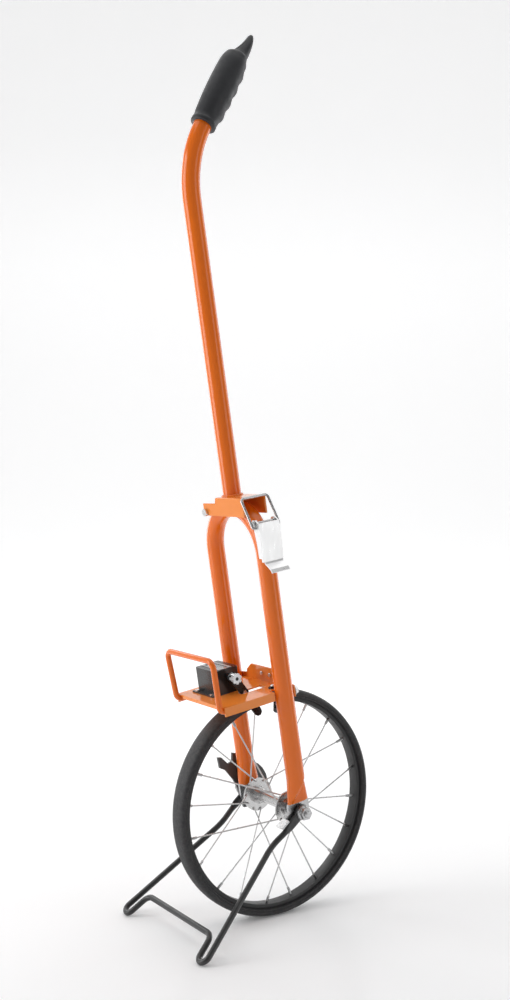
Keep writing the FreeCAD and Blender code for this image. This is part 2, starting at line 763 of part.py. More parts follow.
def stand_path():
    """Centre line of the stand's rod: leg, hairpin foot, cross bar, foot and leg."""
    bend = D["foot_bend"].value
    foot = Vector(D["stand_reach"].value - bend, D["foot_y"].value, 0)
    start = Vector(TONGUE_LENGTH - D["stand_rod"].value, D["flat_y"].value - 1.0, 0)
    knee = Vector(*STAND_KNEE, 0)
    # The knee's bend takes a little of the leg's length, which turns it slightly.
    spread = math.atan2(foot.y + bend - knee.y, foot.x - knee.x) * 0.985
    square = Vector(-math.sin(spread), math.cos(spread), 0) * bend
    tangent = Vector(math.cos(spread), math.sin(spread), 0)
    outer = foot + square
    inner = foot - square
    tip = foot + tangent * bend
    corner = inner - tangent * ((inner.x - STAND_BAR) / tangent.x)
    edges = list(bent_wire([start, knee, outer], [KNEE_BEND]).Edges)
    edges.append(Part.Arc(outer, tip, inner).toShape())
    bar = [inner, corner, mirror_y(corner), mirror_y(inner)]
    edges += bent_wire(bar, [BAR_BEND, BAR_BEND]).Edges
    edges.append(Part.Arc(mirror_y(inner), mirror_y(tip), mirror_y(outer)).toShape())
    edges += bent_wire([mirror_y(outer), mirror_y(knee), mirror_y(start)], [KNEE_BEND]).Edges
    return Part.Wire(edges)


def mirror_y(point):
    """A point's mirror image across the middle plane."""
    return Vector(point.x, -point.y, point.z)


def stand_eye(side):
    """One flattened end of the rod, with the eye that turns on the axle's bush."""
    thick = D["flat_plate"].value
    width = D["flat_width"].value
    low = D["flat_y"].value * side - thick / 2
    eye = Part.makeCylinder(EYE_RADIUS, thick, Vector(0, low, 0), ALONG)
    tongue = Part.makeBox(TONGUE_LENGTH, thick, width, Vector(0, low, -width / 2))
    bore = STAND_BUSH.value + D["running_gap"].value
    hole = Part.makeCylinder(bore, thick, Vector(0, low, 0), ALONG)
    return eye.fuse(tongue).cut(hole)


def pedal():
    """The moulded foot pedal on the stand's far end: a sector, a finger and the pedal arm."""
    arm = [(-5, -27), (-8, -14), (-11, 4), (-16, 18), (-27, 36), (-36, 42), (-37, 58),
           (-31, 56.5), (-21.5, 44), (-14, 46), (-12, 58), (-4.5, 55)]
    sector = []
    for degrees in range(0, 106, 15):
        turn = math.radians(degrees)
        sector.append((PEDAL_RADIUS * math.sin(turn), PEDAL_RADIUS * math.cos(turn)))
    heel = [(30, -24), (12, -30)]
    body = plate("pedal_body", arm + sector + heel, PEDAL_PLATE, PEDAL_Y)
    seat = new_sketch(body, "XZ", -(PEDAL_Y + PEDAL_PLATE))
    circle(seat, 0, 0, STAND_BUSH + D["running_gap"])
    pocket(body, seat, PEDAL_PLATE, reverse=True)
    return body


# ---------------------------------------------------------------- handle

def handle_parts():
    """The handle's bent tube, the channel at its foot that folds on the fork, and the grip."""
    body = new_body("handle_body")
    y = D["handle_y"]
    b = D["handle_b"]
    base = D["channel_top"]
    start = D["bend_start"]
    turn = math.radians(D["handle_turn"].value)
    bend = D["handle_bend"].value
    centre = Vector(b.value + bend, start.value, 0)
    end = Vector(centre.x - bend * math.cos(turn), start.value + bend * math.sin(turn), 0)
    way = Vector(math.sin(turn), math.cos(turn), 0)
    middle = Vector(centre.x - bend * math.cos(turn / 2), start.value + bend * math.sin(turn / 2),
                    0)
    path = new_sketch(body, "XZ", -y)
    foot = Vector(b.value, base.value, 0)
    low = Vector(b.value, start.value, 0)
    path.addGeometry(Part.LineSegment(foot, low), False)
    path.addGeometry(Part.Arc(low, middle, end), False)
    path.addGeometry(Part.LineSegment(end, end + way * GRIP_BORE), False)
    pin_point(path, 0, 1, b, base)
    pin_point(path, 0, 2, b, start)
    path.addConstraint(Sketcher.Constraint("Tangent", 0, 2, 1, 2))
    path.addConstraint(Sketcher.Constraint("Tangent", 1, 1, 2, 1))
    radius = path.addConstraint(Sketcher.Constraint("Radius", 1, bend))
    path.setExpression("Constraints[%d]" % radius, D["handle_bend"].formula)
    section = new_sketch(body, "XY", base)
    circle(section, b, y, D["tube_radius"])
    circle(section, b, y, D["tube_radius"] - D["tube_wall"])
    pipe = body.newObject("PartDesign::AdditivePipe", "handle_pipe")
    pipe.Profile = section
    pipe.Spine = (path, ["Edge1", "Edge2", "Edge3"])
    node(body, "handle_tube")
    grip_place = Placement(Vector(end.x, y.value, end.y),
                           Rotation(ALONG, D["handle_turn"].value))
    node(grip(), "grip", "fork", grip_place)
    node(channel(), "hinge_channel")


def grip():
    """The moulded grip: a barrelled sleeve on the tube with a spur past its end."""
    tube = D["tube_radius"]
    body = new_body("grip_body")
    sketch = new_sketch(body, "XZ")
    points = [(tube, 0), (18.5, 0), (18.5, 6), (17.0, 10), (18.5, 30), (20.0, 60), (19.0, 90),
              (16.5, D["grip_length"] - 4), (13.0, D["grip_length"]), (0, D["grip_length"]),
              (0, GRIP_BORE), (tube, GRIP_BORE)]
    outline(sketch, points)
    step = body.newObject("PartDesign::Revolution", "grip_revolution")
    step.Profile = sketch
    step.ReferenceAxis = (sketch, ["V_Axis"])
    step.Angle = 360
    spur = outline(new_sketch(body, "XZ", -SPUR_HALF),
                   [(-5, 112), (15, 108), (14.5, 122), (11.5, 138), (9, 154), (5, 157.5),
                    (1.5, 150), (-2, 134)])
    pad(body, spur, SPUR_HALF * 2)
    return body


def channel():
    """The folded-sheet channel that sits over the fork's arch and turns on the hinge bolt."""
    top = D["channel_top"]
    sheet_t = D["channel_sheet"]
    rear = -D["channel_rear"]
    front = D["channel_front"]
    low = top - D["channel_depth"]
    body = new_body("channel_body")
    profile = outline(new_sketch(body, "XZ", -D["channel_far"]),
                      [(rear, low), (rear, top), (front, top), (front, low),
                       (front - sheet_t, low), (front - sheet_t, top - sheet_t),
                       (rear + sheet_t, top - sheet_t), (rear + sheet_t, low)])
    pad(body, profile, D["channel_far"] + D["channel_near"])
    rounded(body, 2.0, lambda edge: runs_along(edge, ALONG) and
            abs(edge.CenterOfMass.z - top.value) < 0.01)
    notch = new_sketch(body, "YZ", rear - 1)
    outline(notch, [(16, top + 1), (19, top - 8), (D["channel_far"] + 1, top - 8.5),
                    (D["channel_far"] + 1, top + 1)])
    pocket(body, notch, D["channel_rear"] + D["channel_front"] + 2, reverse=True)
    holes = new_sketch(body, "YZ", rear - 1)
    circle(holes, D["hinge_y"], D["hinge_a"], D["hinge_radius"] + D["running_gap"])
    pocket(body, holes, D["channel_rear"] + D["channel_front"] + 2, reverse=True)
    return body


def hinge_parts():
    """The bolt through the channel and the fork's bush, and its nut."""
    gap = D["part_gap"]
    radius = D["hinge_radius"]
    start = -D["channel_rear"] - gap
    length = D["channel_rear"] + D["channel_front"] + gap * 2 + 7.0
    shank = cylinder("hinge_shank", radius, length, start, D["hinge_y"], D["hinge_a"], FORWARD)
    head = cylinder("hinge_head", 5.4, 3.4, start - 3.4, D["hinge_y"], D["hinge_a"], FORWARD)
    node(fuse([shank, head], "hinge_bolt_shape"), "hinge_bolt")
    nut = hexagon("hinge_nut_body", 5.77, 5.0, D["channel_front"] + gap, D["hinge_y"],
                  D["hinge_a"], FORWARD)
    bore = cylinder("hinge_nut_bore", radius, 5.0, D["channel_front"] + gap, D["hinge_y"],
                    D["hinge_a"], FORWARD)
    node(cut(nut, bore, "hinge_nut_shape"), "hinge_nut")


# ---------------------------------------------------------------- latch

def latch_parts():
    """The over-centre latch: base, pin, lever and the wire bail that it draws down."""
    a = D["latch_a"]
    y = -D["latch_y"]
    leg_out = -(D["fork_half"] + D["tube_radius"])
    sheet_t = D["latch_sheet"]
    ear_out = D["latch_half"] - sheet_t - D["part_gap"]
    body = new_body("latch_base_body")
    web = new_sketch(body, "XZ", -leg_out)
    rectangle(web, -ear_out, 352, ear_out, 386)
    pad(body, web, sheet_t)
    ear_points = [(leg_out - sheet_t, 356), (leg_out + 6, 356), (leg_out + 7, 378),
                  (y + 6, a - 2), (y + 3, a + 4.8), (y - 3, a + 4.8), (leg_out - sheet_t, 386)]
    for start in (-ear_out, ear_out - sheet_t):
        pad(body, outline(new_sketch(body, "YZ", start), ear_points), sheet_t)
    bore = new_sketch(body, "YZ", -ear_out - 1)
    circle(bore, y, a, D["latch_radius"])
    pocket(body, bore, ear_out * 2 + 2, reverse=True)
    rivet_holes = new_sketch(body, "XZ", -leg_out)
    for height in RIVETS:
        circle(rivet_holes, 0, height, 2.0)
    pocket(body, rivet_holes, sheet_t, reverse=True)
    node(body, "latch_base")
    rivets = []
    for height in RIVETS:
        shank = cylinder("rivet", 2.0, sheet_t, 0, leg_out - sheet_t, height, ALONG)
        head = cylinder("rivet_head", 3.6, 1.0, 0, leg_out - sheet_t - 1.0, height, ALONG)
        rivets.append(fuse([shank, head], "rivet_shape"))
    node(group(rivets, "rivets"), "latch_rivets")
    half = D["latch_half"] + D["part_gap"] + 1.4
    shank = cylinder("latch_shank", D["latch_radius"], half * 2, -half, y, a, FORWARD)
    heads = []
    for start in (-half, half - 1.4):
        heads.append(cylinder("latch_head", 4.0, 1.4, start, y, a, FORWARD))
    node(fuse([shank] + heads, "latch_pin_shape"), "latch_pin")
    node(latch_lever(), "latch_lever")
    node(bail(), "latch_bail")


def latch_lever():
    """The pressed lever: a plate with two side flanges and a curled lip to pull on."""
    a = D["latch_a"]
    y = -D["latch_y"]
    half = D["latch_half"]
    sheet_t = D["latch_sheet"]
    gap = D["running_gap"]
    body = new_body("latch_lever_body")
    pad(body, rectangle(new_sketch(body, "XZ", LEVER_FACE - sheet_t), -half, 352, half, a + 1),
        sheet_t)
    flange = [(-LEVER_FACE + sheet_t, 352), (-78.2, 352), (-77.6, 385), (y + 4.6, a - 3),
              (y + 5, a + 1), (y + 3, a + 5), (y - 2, a + 5), (-LEVER_FACE + sheet_t, a + 1)]
    for start in (-half, half - sheet_t):
        pad(body, outline(new_sketch(body, "YZ", start), flange), sheet_t)
    lip = outline(new_sketch(body, "YZ", -half + 2.5),
                  [(-LEVER_FACE, 352), (-83.0, 349.5), (-87.5, 346.5), (-92.5, 343.0),
                   (-95.5, 338.5), (-94.2, 337.8), (-91.4, 341.9), (-86.6, 345.2),
                   (-81.9, 348.3), (-LEVER_FACE + sheet_t, 350.3),
                   (-LEVER_FACE + sheet_t, 352)])
    pad(body, lip, half * 2 - 5)
    for spot, radius in (((y, a), D["latch_radius"]), (BAIL_END, D["bail_radius"])):
        bore = circle(new_sketch(body, "YZ", -half - 1), *spot, radius + gap)
        pocket(body, bore, half * 2 + 2, reverse=True)
    return body


def bail():
    """The wire loop: two ends in the lever's flanges, two arms and the bar across the top."""
    half = D["bail_half"].value
    inner = D["latch_half"].value - D["latch_sheet"].value
    end_y, end_a = [part.value for part in BAIL_END]
    top_y, top_a = [part.value for part in BAIL_TOP]
    points = [Vector(-inner, end_y, end_a), Vector(-half, end_y, end_a),
              Vector(-half, top_y, top_a), Vector(half, top_y, top_a),
              Vector(half, end_y, end_a), Vector(inner, end_y, end_a)]
    return bent_rod("bail_shape", points, [2.5, 5.0, 5.0, 2.5], D["bail_radius"])


# ---------------------------------------------------------------- platform

def platform_parts():
    """The counter's platform: tray, guard, rear bracket and the bolts that hold it."""
    top = D["tray_top"]
    sheet_t = D["tray_sheet"]
    half = D["tray_half"]
    front = -D["tray_front"]
    inside = D["fork_half"] - D["tube_radius"] - 0.6
    rear = D["tube_radius"]
    step_b = -15.0
    body = new_body("tray_body")
    deck = outline(new_sketch(body, "XY", top - sheet_t),
                   [(front, -half), (step_b, -half), (step_b, -inside), (rear, -inside),
                    (rear, inside), (step_b, inside), (step_b, half), (front, half)])
    pad(body, deck, sheet_t)
    for start in (-half, half - sheet_t):
        side = new_sketch(body, "XZ", -start)
        rectangle(side, front, top - D["tray_depth"], step_b, top - sheet_t)
        pad(body, side, sheet_t, reverse=True)
    lip = rectangle(new_sketch(body, "YZ", front), -48, top - 5, 48, top - sheet_t)
    pad(body, lip, sheet_t)
    openings = new_sketch(body, "XY", top)
    rectangle(openings, -45, -27, -4, -13)
    for b, y in SPARE_HOLES:
        circle(openings, b, y, 2.2)
    for b, y in SCREWS:
        circle(openings, b, y, SCREW_RADIUS)
    pocket(body, openings, sheet_t)
    node(body, "platform_tray")
    g = D["guard_radius"]
    height = (top - sheet_t - g).value
    foot_y = (half - sheet_t - g).value
    low = front.value - g.value - 0.3
    points = [Vector(low + 26, -foot_y, height), Vector(low, -foot_y, height),
              Vector(low - 3, -foot_y - 4, D["guard_top"].value),
              Vector(low - 3, foot_y + 4, D["guard_top"].value),
              Vector(low, foot_y, height), Vector(low + 26, foot_y, height)]
    node(bent_rod("guard_shape", points, [8.0, 11.0, 11.0, 8.0], g), "guard_rod")
    node(rear_bracket(), "rear_bracket")
    bolts = []
    washers = []
    nuts = []
    face = rear + BRACKET_SHEET
    for side in (-1, 1):
        y = D["fork_half"] * side
        shank = cylinder("bracket_shank", BOLT_RADIUS, face - 1.0, 1.0, y, BOLT_A, FORWARD)
        head = hexagon("bracket_head", 5.77, 5.0, face + 1.2, y, BOLT_A, FORWARD)
        neck = cylinder("bracket_neck", BOLT_RADIUS, 1.2, face, y, BOLT_A, FORWARD)
        bolts.append(fuse([shank, neck, head], "bracket_bolt"))
        washers.append(ring("bracket_washer", 7.5, BOLT_RADIUS, 1.2, face, y, BOLT_A, FORWARD))
        nuts.append(ring("rivet_nut", 5.0, BOLT_RADIUS, 6.0, 3.6, y, BOLT_A, FORWARD))
    node(group(bolts, "bolts"), "bracket_bolts")
    node(group(washers, "bracket_washer_set"), "bracket_washers")
    node(group(nuts, "rivet_nut_set"), "leg_rivet_nuts")


def rear_bracket():
    """The upright sheet across the back of the legs, stepped at its shoulders."""
    half = size(69.0)
    points = [(-half, 160), (half, 160), (half, 176), (46, 178), (44, 183), (32, 192),
              (-32, 192), (-44, 183), (-46, 178), (-half, 176)]
    body = new_body("bracket_body")
    pad(body, outline(new_sketch(body, "YZ", D["tube_radius"]), points), BRACKET_SHEET)
    holes = new_sketch(body, "YZ", D["tube_radius"] - 1)
    for side in (-1, 1):
        circle(holes, D["fork_half"] * side, BOLT_A, BOLT_RADIUS)
        circle(holes, 10.0 * side - 4, 182.0, 2.0)
    pocket(body, holes, BRACKET_SHEET + 2, reverse=True)
    return body


# ---------------------------------------------------------------- counter

def counter_parts():
    """The counter: base, housing, window, screws, drums on their shaft, lever and knob."""
    top = D["tray_top"]
    shaft_b = -D["counter_shaft_b"]
    shaft_a = D["counter_shaft_a"]
    near = -D["counter_near"]
    far = D["counter_far"]
    half = D["counter_half"]
    wall = D["counter_wall"]
    roof = D["counter_top"]
    base = new_body("counter_base_body")
    foot = rectangle(new_sketch(base, "XY", top), -78, near - 1, -24, far + 1)
    pad(base, foot, wall)
    holes = new_sketch(base, "XY", top + wall)
    for b, y in SCREWS:
        circle(holes, b, y, SCREW_RADIUS)
    pocket(base, holes, wall)
    node(base, "counter_base")
    case = new_body("counter_housing_body")
    floor = top + wall
    pad(case, rectangle(new_sketch(case, "XY", floor), shaft_b - half, near, shaft_b + half, far),
        roof - floor)
    inside = rectangle(new_sketch(case, "XY", floor), shaft_b - half + wall, near + wall,
                       shaft_b + half - wall, far - wall)
    pocket(case, inside, roof - floor - wall, reverse=True)
    opening = rectangle(new_sketch(case, "XY", roof), shaft_b - 7, 0.5, shaft_b + 7, 41.5)
    pocket(case, opening, wall)
    bore = circle(new_sketch(case, "XZ", -far - 1), shaft_b, shaft_a,
                  D["shaft_radius"] + D["running_gap"])
    pocket(case, bore, wall + 1.5, reverse=True)
    bore = circle(new_sketch(case, "XZ", -near + 1), shaft_b, shaft_a,
                  HUB_RADIUS + D["running_gap"])
    pocket(case, bore, wall + 1.5)
    corners = [(shaft_b.value + x, y) for x in (-half.value, half.value)
               for y in (near.value, far.value)]
    rounded(case, 3.0, lambda edge: runs_along(edge, UP) and any(
        math.dist((edge.CenterOfMass.x, edge.CenterOfMass.y), spot) < 0.01 for spot in corners))
    node(case, "counter_housing")
    pane = box("window_pane", 14.0, 41.0, 1.4, shaft_b - 7, 0.5, roof - 1.6)
    node(group([pane], "window_shape"), "counter_window")
    screws = []
    for b, y in SCREWS:
        shank = cylinder("screw_shank", SCREW_RADIUS, 6.0, b, y, top - 4)
        head = cylinder("screw_head", 3.0, 1.8, b, y, top + wall)
        screws.append(fuse([shank, head], "screw"))
    node(group(screws, "screws"), "counter_screws")
    radius = D["shaft_radius"]
    length = far - near + KNOB_OUT + 1.0
    shaft = cylinder("shaft_rod", radius, length, shaft_b, near - KNOB_OUT, shaft_a, ALONG)
    node(group([shaft], "shaft_shape"), "counter_shaft")
    node(reset_knob(shaft_b, shaft_a, near), "reset_knob")
    names = ("units", "tens", "hundreds", "thousands", "ten_thousands")
    for index, name in enumerate(names):
        y = D["drum_pitch"] * index + 1.2
        drum = ring("drum_%d" % index, D["drum_radius"], radius + D["running_gap"],
                    D["drum_width"], shaft_b, y, shaft_a)
        node(drum, "drum_" + name)
    lever_parts(shaft_b, shaft_a, near)


def reset_knob(shaft_b, shaft_a, near):
    """The fluted knob that sets the drums back."""
    y = near - KNOB_OUT
    tools = [cylinder("knob_bore", D["shaft_radius"], KNOB_LENGTH, shaft_b, y, shaft_a, ALONG)]
    for index in range(FLUTES):
        turn = 2 * math.pi * index / FLUTES
        tools.append(cylinder("knob_flute", FLUTE_RADIUS, KNOB_LENGTH,
                              shaft_b + KNOB_RADIUS * math.sin(turn), y,
                              shaft_a + KNOB_RADIUS * math.cos(turn), ALONG))
    blank = cylinder("knob_blank", KNOB_RADIUS, KNOB_LENGTH, shaft_b, y, shaft_a, ALONG)
    return cut(blank, group(tools, "knob_tools"), "knob_shape")


def lever_parts(shaft_b, shaft_a, near):
    """The lever on the counter's shaft, its trip finger and the rivet that joins them."""
    plate_t = D["lever_plate"]
    y = -D["lever_y"] - plate_t / 2
    turn = Rotation(ALONG, 180 - D["lever_lean"].value)
    spot = Placement(Vector(shaft_b.value, 0, shaft_a.value), turn)
    arm = new_body("lever_arm_body")
    pad(arm, outline(new_sketch(arm, "XZ", -y),
                     [(-7, -4), (-7, 5), (-6, 12), (-6, 31), (-3, 34.5), (3, 34.5), (6, 31),
                      (6, 12), (7, 5), (7, -4), (4, -7), (-4, -7)]), plate_t, reverse=True)
    hub = circle(new_sketch(arm, "XZ", -y), 0, 0, HUB_RADIUS)
    pad(arm, hub, near - y + 3.0, reverse=True)
    bore = circle(new_sketch(arm, "XZ", -y + 1), 0, 0, D["shaft_radius"] + D["running_gap"])
    pocket(arm, bore, 40.0)
    hole = circle(new_sketch(arm, "XZ", -y + 1), 0, LEVER_RIVET, 2.0)
    pocket(arm, hole, plate_t + 2)
    node(arm, "counter_lever", "fork", spot)
    finger_y = y + plate_t
    finger = new_body("finger_body")
    pad(finger, outline(new_sketch(finger, "XZ", -finger_y),
                        [(-5, 21), (5, 21), (6, 30), (6, 66), (4.2, 70.5), (0, 72.5),
                         (-4.2, 70.5), (-6, 66), (-6, 30)]), FINGER_PLATE, reverse=True)
    hole = circle(new_sketch(finger, "XZ", -finger_y + 1), 0, LEVER_RIVET, 2.0)
    pocket(finger, hole, FINGER_PLATE + 2)
    node(finger, "trip_finger", "fork", spot)
    shank = cylinder("lever_rivet_shank", 2.0, plate_t + FINGER_PLATE, 0, y, LEVER_RIVET, ALONG)
    head = cylinder("lever_rivet_head", 3.0, 1.2, 0, y - 1.2, LEVER_RIVET, ALONG)
    node(fuse([shank, head], "lever_rivet_shape"), "lever_rivet", "fork", spot)


# ---------------------------------------------------------------- build and write

def check(things):
    """Stop on any failed object, and on any sub-part with no sound solid."""
    for thing in doc.Objects:
        if "Invalid" in thing.State or "Error" in thing.State:
            raise ValueError("%s failed: %s" % (thing.Name, thing.State))
    for thing in things:
        shape = thing.Shape
        if shape.isNull() or not shape.isValid() or not shape.Solids:
            raise ValueError("%s has no sound solid" % thing.Label)


def write(things):
    """Write each sub-part's shape to a STEP file of its name."""
    os.makedirs("parts", exist_ok=True)
    for thing in things:
        thing.Shape.exportStep("parts/%s.step" % thing.Label)
        print("%-18s %2d solids  %9.0f mm3" % (thing.Label, len(thing.Shape.Solids),
                                              thing.Shape.Volume))


fork_parts()
axle_parts()
hub_parts()
wheel_parts()
stand_parts()
handle_parts()
hinge_parts()
latch_parts()
platform_parts()
counter_parts()
doc.recompute()
check(NODES)
write(NODES)
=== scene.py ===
"""Looks for the measuring wheel: smooth tubes, a moulded grip, a tyre and the finishes."""

import json
import math

import bpy
from mathutils import Matrix, Vector


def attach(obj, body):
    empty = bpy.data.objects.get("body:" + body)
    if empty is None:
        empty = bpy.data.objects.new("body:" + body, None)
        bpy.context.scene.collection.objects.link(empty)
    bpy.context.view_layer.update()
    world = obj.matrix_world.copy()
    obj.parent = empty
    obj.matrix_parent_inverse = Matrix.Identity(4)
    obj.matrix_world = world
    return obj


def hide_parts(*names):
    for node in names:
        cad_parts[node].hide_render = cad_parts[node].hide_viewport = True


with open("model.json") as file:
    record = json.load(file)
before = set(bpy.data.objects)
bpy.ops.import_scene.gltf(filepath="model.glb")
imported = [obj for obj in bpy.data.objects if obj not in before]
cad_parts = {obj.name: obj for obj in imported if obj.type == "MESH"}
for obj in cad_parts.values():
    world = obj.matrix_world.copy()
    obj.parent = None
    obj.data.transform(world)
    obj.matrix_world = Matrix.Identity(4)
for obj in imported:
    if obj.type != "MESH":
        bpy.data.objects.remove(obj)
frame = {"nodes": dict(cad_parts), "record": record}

# Lengths below are millimetres, and the meshes are built in metres.
MM = 0.001
TURN = 2 * math.pi
AXLE_HEIGHT = 159.155   # also the tyre's radius
AXLE_FORWARD = 12.0
LEAN = math.radians(10)
STAND_REACH = 237.0
ROD = 4.0               # radius of the stand's rod and the guard's rod
TUBE = 12.7             # radius of the fork's tube and the handle's tube
WALL = 1.6
HANDLE_B = 4.0          # the handle's foot in the fork's frame, forward and across
HANDLE_Y = 6.0

# Places: the wheel's frame, the fork's, which leans, and the stand's, which points to its foot.
WHEEL = Matrix.Translation(Vector((AXLE_FORWARD, 0.0, AXLE_HEIGHT)) * MM)
FORK = WHEEL @ Matrix.Rotation(-LEAN, 4, "Y")
SLOPE = math.asin((AXLE_HEIGHT - ROD) / STAND_REACH)
STAND = WHEEL @ Matrix.Rotation(math.pi - SLOPE, 4, "Y")


def save_bounds():
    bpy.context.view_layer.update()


save_bounds()


# ---------------------------------------------------------------- finishes

def link(tree, source, target):
    """Join two sockets of a node tree."""
    tree.links.new(source, target)


def noise(tree, coords, scale, detail=4.0, stretch=None):
    """A noise texture in the object's own space, metres to scale."""
    node = tree.nodes.new("ShaderNodeTexNoise")
    node.inputs["Scale"].default_value = scale
    node.inputs["Detail"].default_value = detail
    if stretch:
        mapping = tree.nodes.new("ShaderNodeMapping")
        mapping.inputs["Scale"].default_value = stretch
        link(tree, coords, mapping.inputs["Vector"])
        coords = mapping.outputs["Vector"]
    link(tree, coords, node.inputs["Vector"])
    return node.outputs["Fac"]


def ramp(tree, value, low, high, start, end):
    """Map a value's range onto another."""
    node = tree.nodes.new("ShaderNodeMapRange")
    node.inputs["From Min"].default_value = low
    node.inputs["From Max"].default_value = high
    node.inputs["To Min"].default_value = start
    node.inputs["To Max"].default_value = end
    link(tree, value, node.inputs["Value"])
    return node.outputs["Result"]


def mixed(tree, factor, first, second):
    """Mix two colours by a factor."""
    node = tree.nodes.new("ShaderNodeMix")
    node.data_type = "RGBA"
    link(tree, factor, node.inputs["Factor"])
    for socket, colour in ((node.inputs[6], first), (node.inputs[7], second)):
        if isinstance(colour, tuple):
            socket.default_value = (*colour, 1)
        else:
            link(tree, colour, socket)
    return node.outputs[2]


COAT_ROUGHNESS = 0.06
GRAIN_DEPTH = 0.0004    # metres
PATCH_SHADE = 0.86      # how dark a finish's patches are if it names no colour for them


def finish_of(name, base, roughness=0.5, metallic=0.0, coat=0.0, patch=None, patch_scale=60,
              grain=0.0, grain_scale=900, spread=0.08, stretch=None, edge=None, specular=0.5):
    """A principled finish with uneven colour and gloss, a fine grain, and convex edges mixed
    towards a lighter edge colour that is partly wear and partly a painted highlight.
    """
    material = bpy.data.materials.new(name)
    material.use_nodes = True
    tree = material.node_tree
    shader = tree.nodes["Principled BSDF"]
    shader.inputs["Metallic"].default_value = metallic
    shader.inputs["Coat Weight"].default_value = coat
    shader.inputs["Coat Roughness"].default_value = COAT_ROUGHNESS
    shader.inputs["Specular IOR Level"].default_value = specular
    coords = tree.nodes.new("ShaderNodeTexCoord").outputs["Object"]
    blotch = noise(tree, coords, patch_scale, 5.0, stretch)
    other = patch or tuple(channel * PATCH_SHADE for channel in base)
    colour = mixed(tree, ramp(tree, blotch, 0.35, 0.75, 0.0, 1.0), base, other)
    # Convex edges, found by pointiness, take the edge colour: partly wear, partly a painted edge
    # highlight.
    if edge:
        geometry = tree.nodes.new("ShaderNodeNewGeometry")
        wear_and_highlight = ramp(tree, geometry.outputs["Pointiness"], 0.53, 0.60, 0.0, 0.7)
        colour = mixed(tree, wear_and_highlight, colour, edge)
    link(tree, colour, shader.inputs["Base Color"])
    gloss = noise(tree, coords, patch_scale * 2.3, 6.0, stretch)
    link(tree, ramp(tree, gloss, 0.3, 0.7, max(roughness - spread, 0.03), roughness + spread),
         shader.inputs["Roughness"])
    if grain:
        bump = tree.nodes.new("ShaderNodeBump")
        bump.inputs["Strength"].default_value = grain
        bump.inputs["Distance"].default_value = GRAIN_DEPTH
        link(tree, noise(tree, coords, grain_scale, 3.0, stretch), bump.inputs["Height"])
        link(tree, bump.outputs["Normal"], shader.inputs["Normal"])
    return material


# The orange paint's edge colour, a lighter amber, is a painted highlight along its edges.
PAINT = finish_of("orange_paint", (0.84, 0.162, 0.005), 0.15, coat=0.42,
                  patch=(0.81, 0.150, 0.004), patch_scale=9, grain=0.02, grain_scale=260,
                  spread=0.03, specular=0.30, edge=(0.90, 0.30, 0.05))
BLACK_ROD = finish_of("black_rod", (0.014, 0.014, 0.015), 0.36, coat=0.25, grain=0.10,
                      grain_scale=600, patch=(0.022, 0.022, 0.022), edge=(0.09, 0.09, 0.09))
PLASTIC = finish_of("black_plastic", (0.008, 0.008, 0.009), 0.22, grain=0.08, grain_scale=1500,
                    patch=(0.010, 0.010, 0.011), edge=(0.04, 0.04, 0.04), spread=0.03)
GRIP = finish_of("grip_rubber", (0.014, 0.015, 0.018), 0.48, grain=0.30, grain_scale=1300,
                 patch=(0.020, 0.021, 0.025), patch_scale=90)
GLOSS = finish_of("grip_gloss", (0.012, 0.012, 0.013), 0.10, coat=0.6, grain=0.03)
TYRE = finish_of("tyre_rubber", (0.024, 0.024, 0.026), 0.62, grain=0.55, grain_scale=800,
                 patch=(0.046, 0.045, 0.046), patch_scale=240, spread=0.1)
RIM = finish_of("rim_black", (0.016, 0.016, 0.017), 0.4, grain=0.15, edge=(0.06, 0.06, 0.06))
ZINC = finish_of("bright_zinc", (0.50, 0.505, 0.51), 0.28, metallic=1.0, grain=0.02,
                 grain_scale=500, patch=(0.54, 0.54, 0.54), patch_scale=120, spread=0.04)
SHEET = finish_of("brushed_sheet", (0.76, 0.765, 0.77), 0.34, metallic=1.0, grain=0.05,
                  grain_scale=400, patch=(0.70, 0.70, 0.71), stretch=(5, 5, 0.4),
                  edge=(0.85, 0.85, 0.85))
HUB = finish_of("hub_polish", (0.60, 0.60, 0.60), 0.24, metallic=1.0, grain=0.01,
                patch=(0.60, 0.595, 0.59), patch_scale=150, spread=0.03)
BOLT = finish_of("bolt_chrome", (0.72, 0.72, 0.72), 0.24, metallic=1.0, grain=0.03)
PEDAL = finish_of("pedal_plastic", (0.030, 0.030, 0.033), 0.42, grain=0.25, grain_scale=1200,
                  patch=(0.040, 0.040, 0.043), edge=(0.09, 0.09, 0.09))
SPOKE = finish_of("spoke_wire", (0.66, 0.66, 0.66), 0.32, metallic=1.0, grain=0.02)
DARK = finish_of("dark_steel", (0.007, 0.007, 0.008), 0.27, grain=0.08, spread=0.04,
                 specular=0.30)
BEARING = finish_of("bearing_steel", (0.45, 0.45, 0.45), 0.25, metallic=1.0, grain=0.05)
KNOB = finish_of("knob_chrome", (0.46, 0.46, 0.47), 0.22, metallic=1.0, grain=0.05)
DRUM = finish_of("drum_white", (0.70, 0.70, 0.67), 0.45, grain=0.05)
INK = finish_of("drum_ink", (0.012, 0.012, 0.012), 0.5, grain=0.05)
LABEL = finish_of("counter_plate", (0.42, 0.43, 0.44), 0.32, grain=0.08, patch=(0.36, 0.36, 0.37))


def window_finish():
    """The counter's clear pane."""
    material = finish_of("window_clear", (0.85, 0.88, 0.88), 0.08, spread=0.03, grain=0.02)
    shader = material.node_tree.nodes["Principled BSDF"]
    shader.inputs["Transmission Weight"].default_value = 0.9
    shader.inputs["IOR"].default_value = 1.45
    return material


FINISHES = {
    "orange_paint": PAINT, "black_rod": BLACK_ROD, "black_plastic": PLASTIC,
    "grip_rubber": GRIP, "tyre_rubber": TYRE, "rim_black": RIM, "bright_zinc": ZINC,
    "dark_steel": DARK, "bearing_steel": BEARING, "knob_chrome": KNOB,
    "window_clear": window_finish(), "drum_white": DRUM,
}
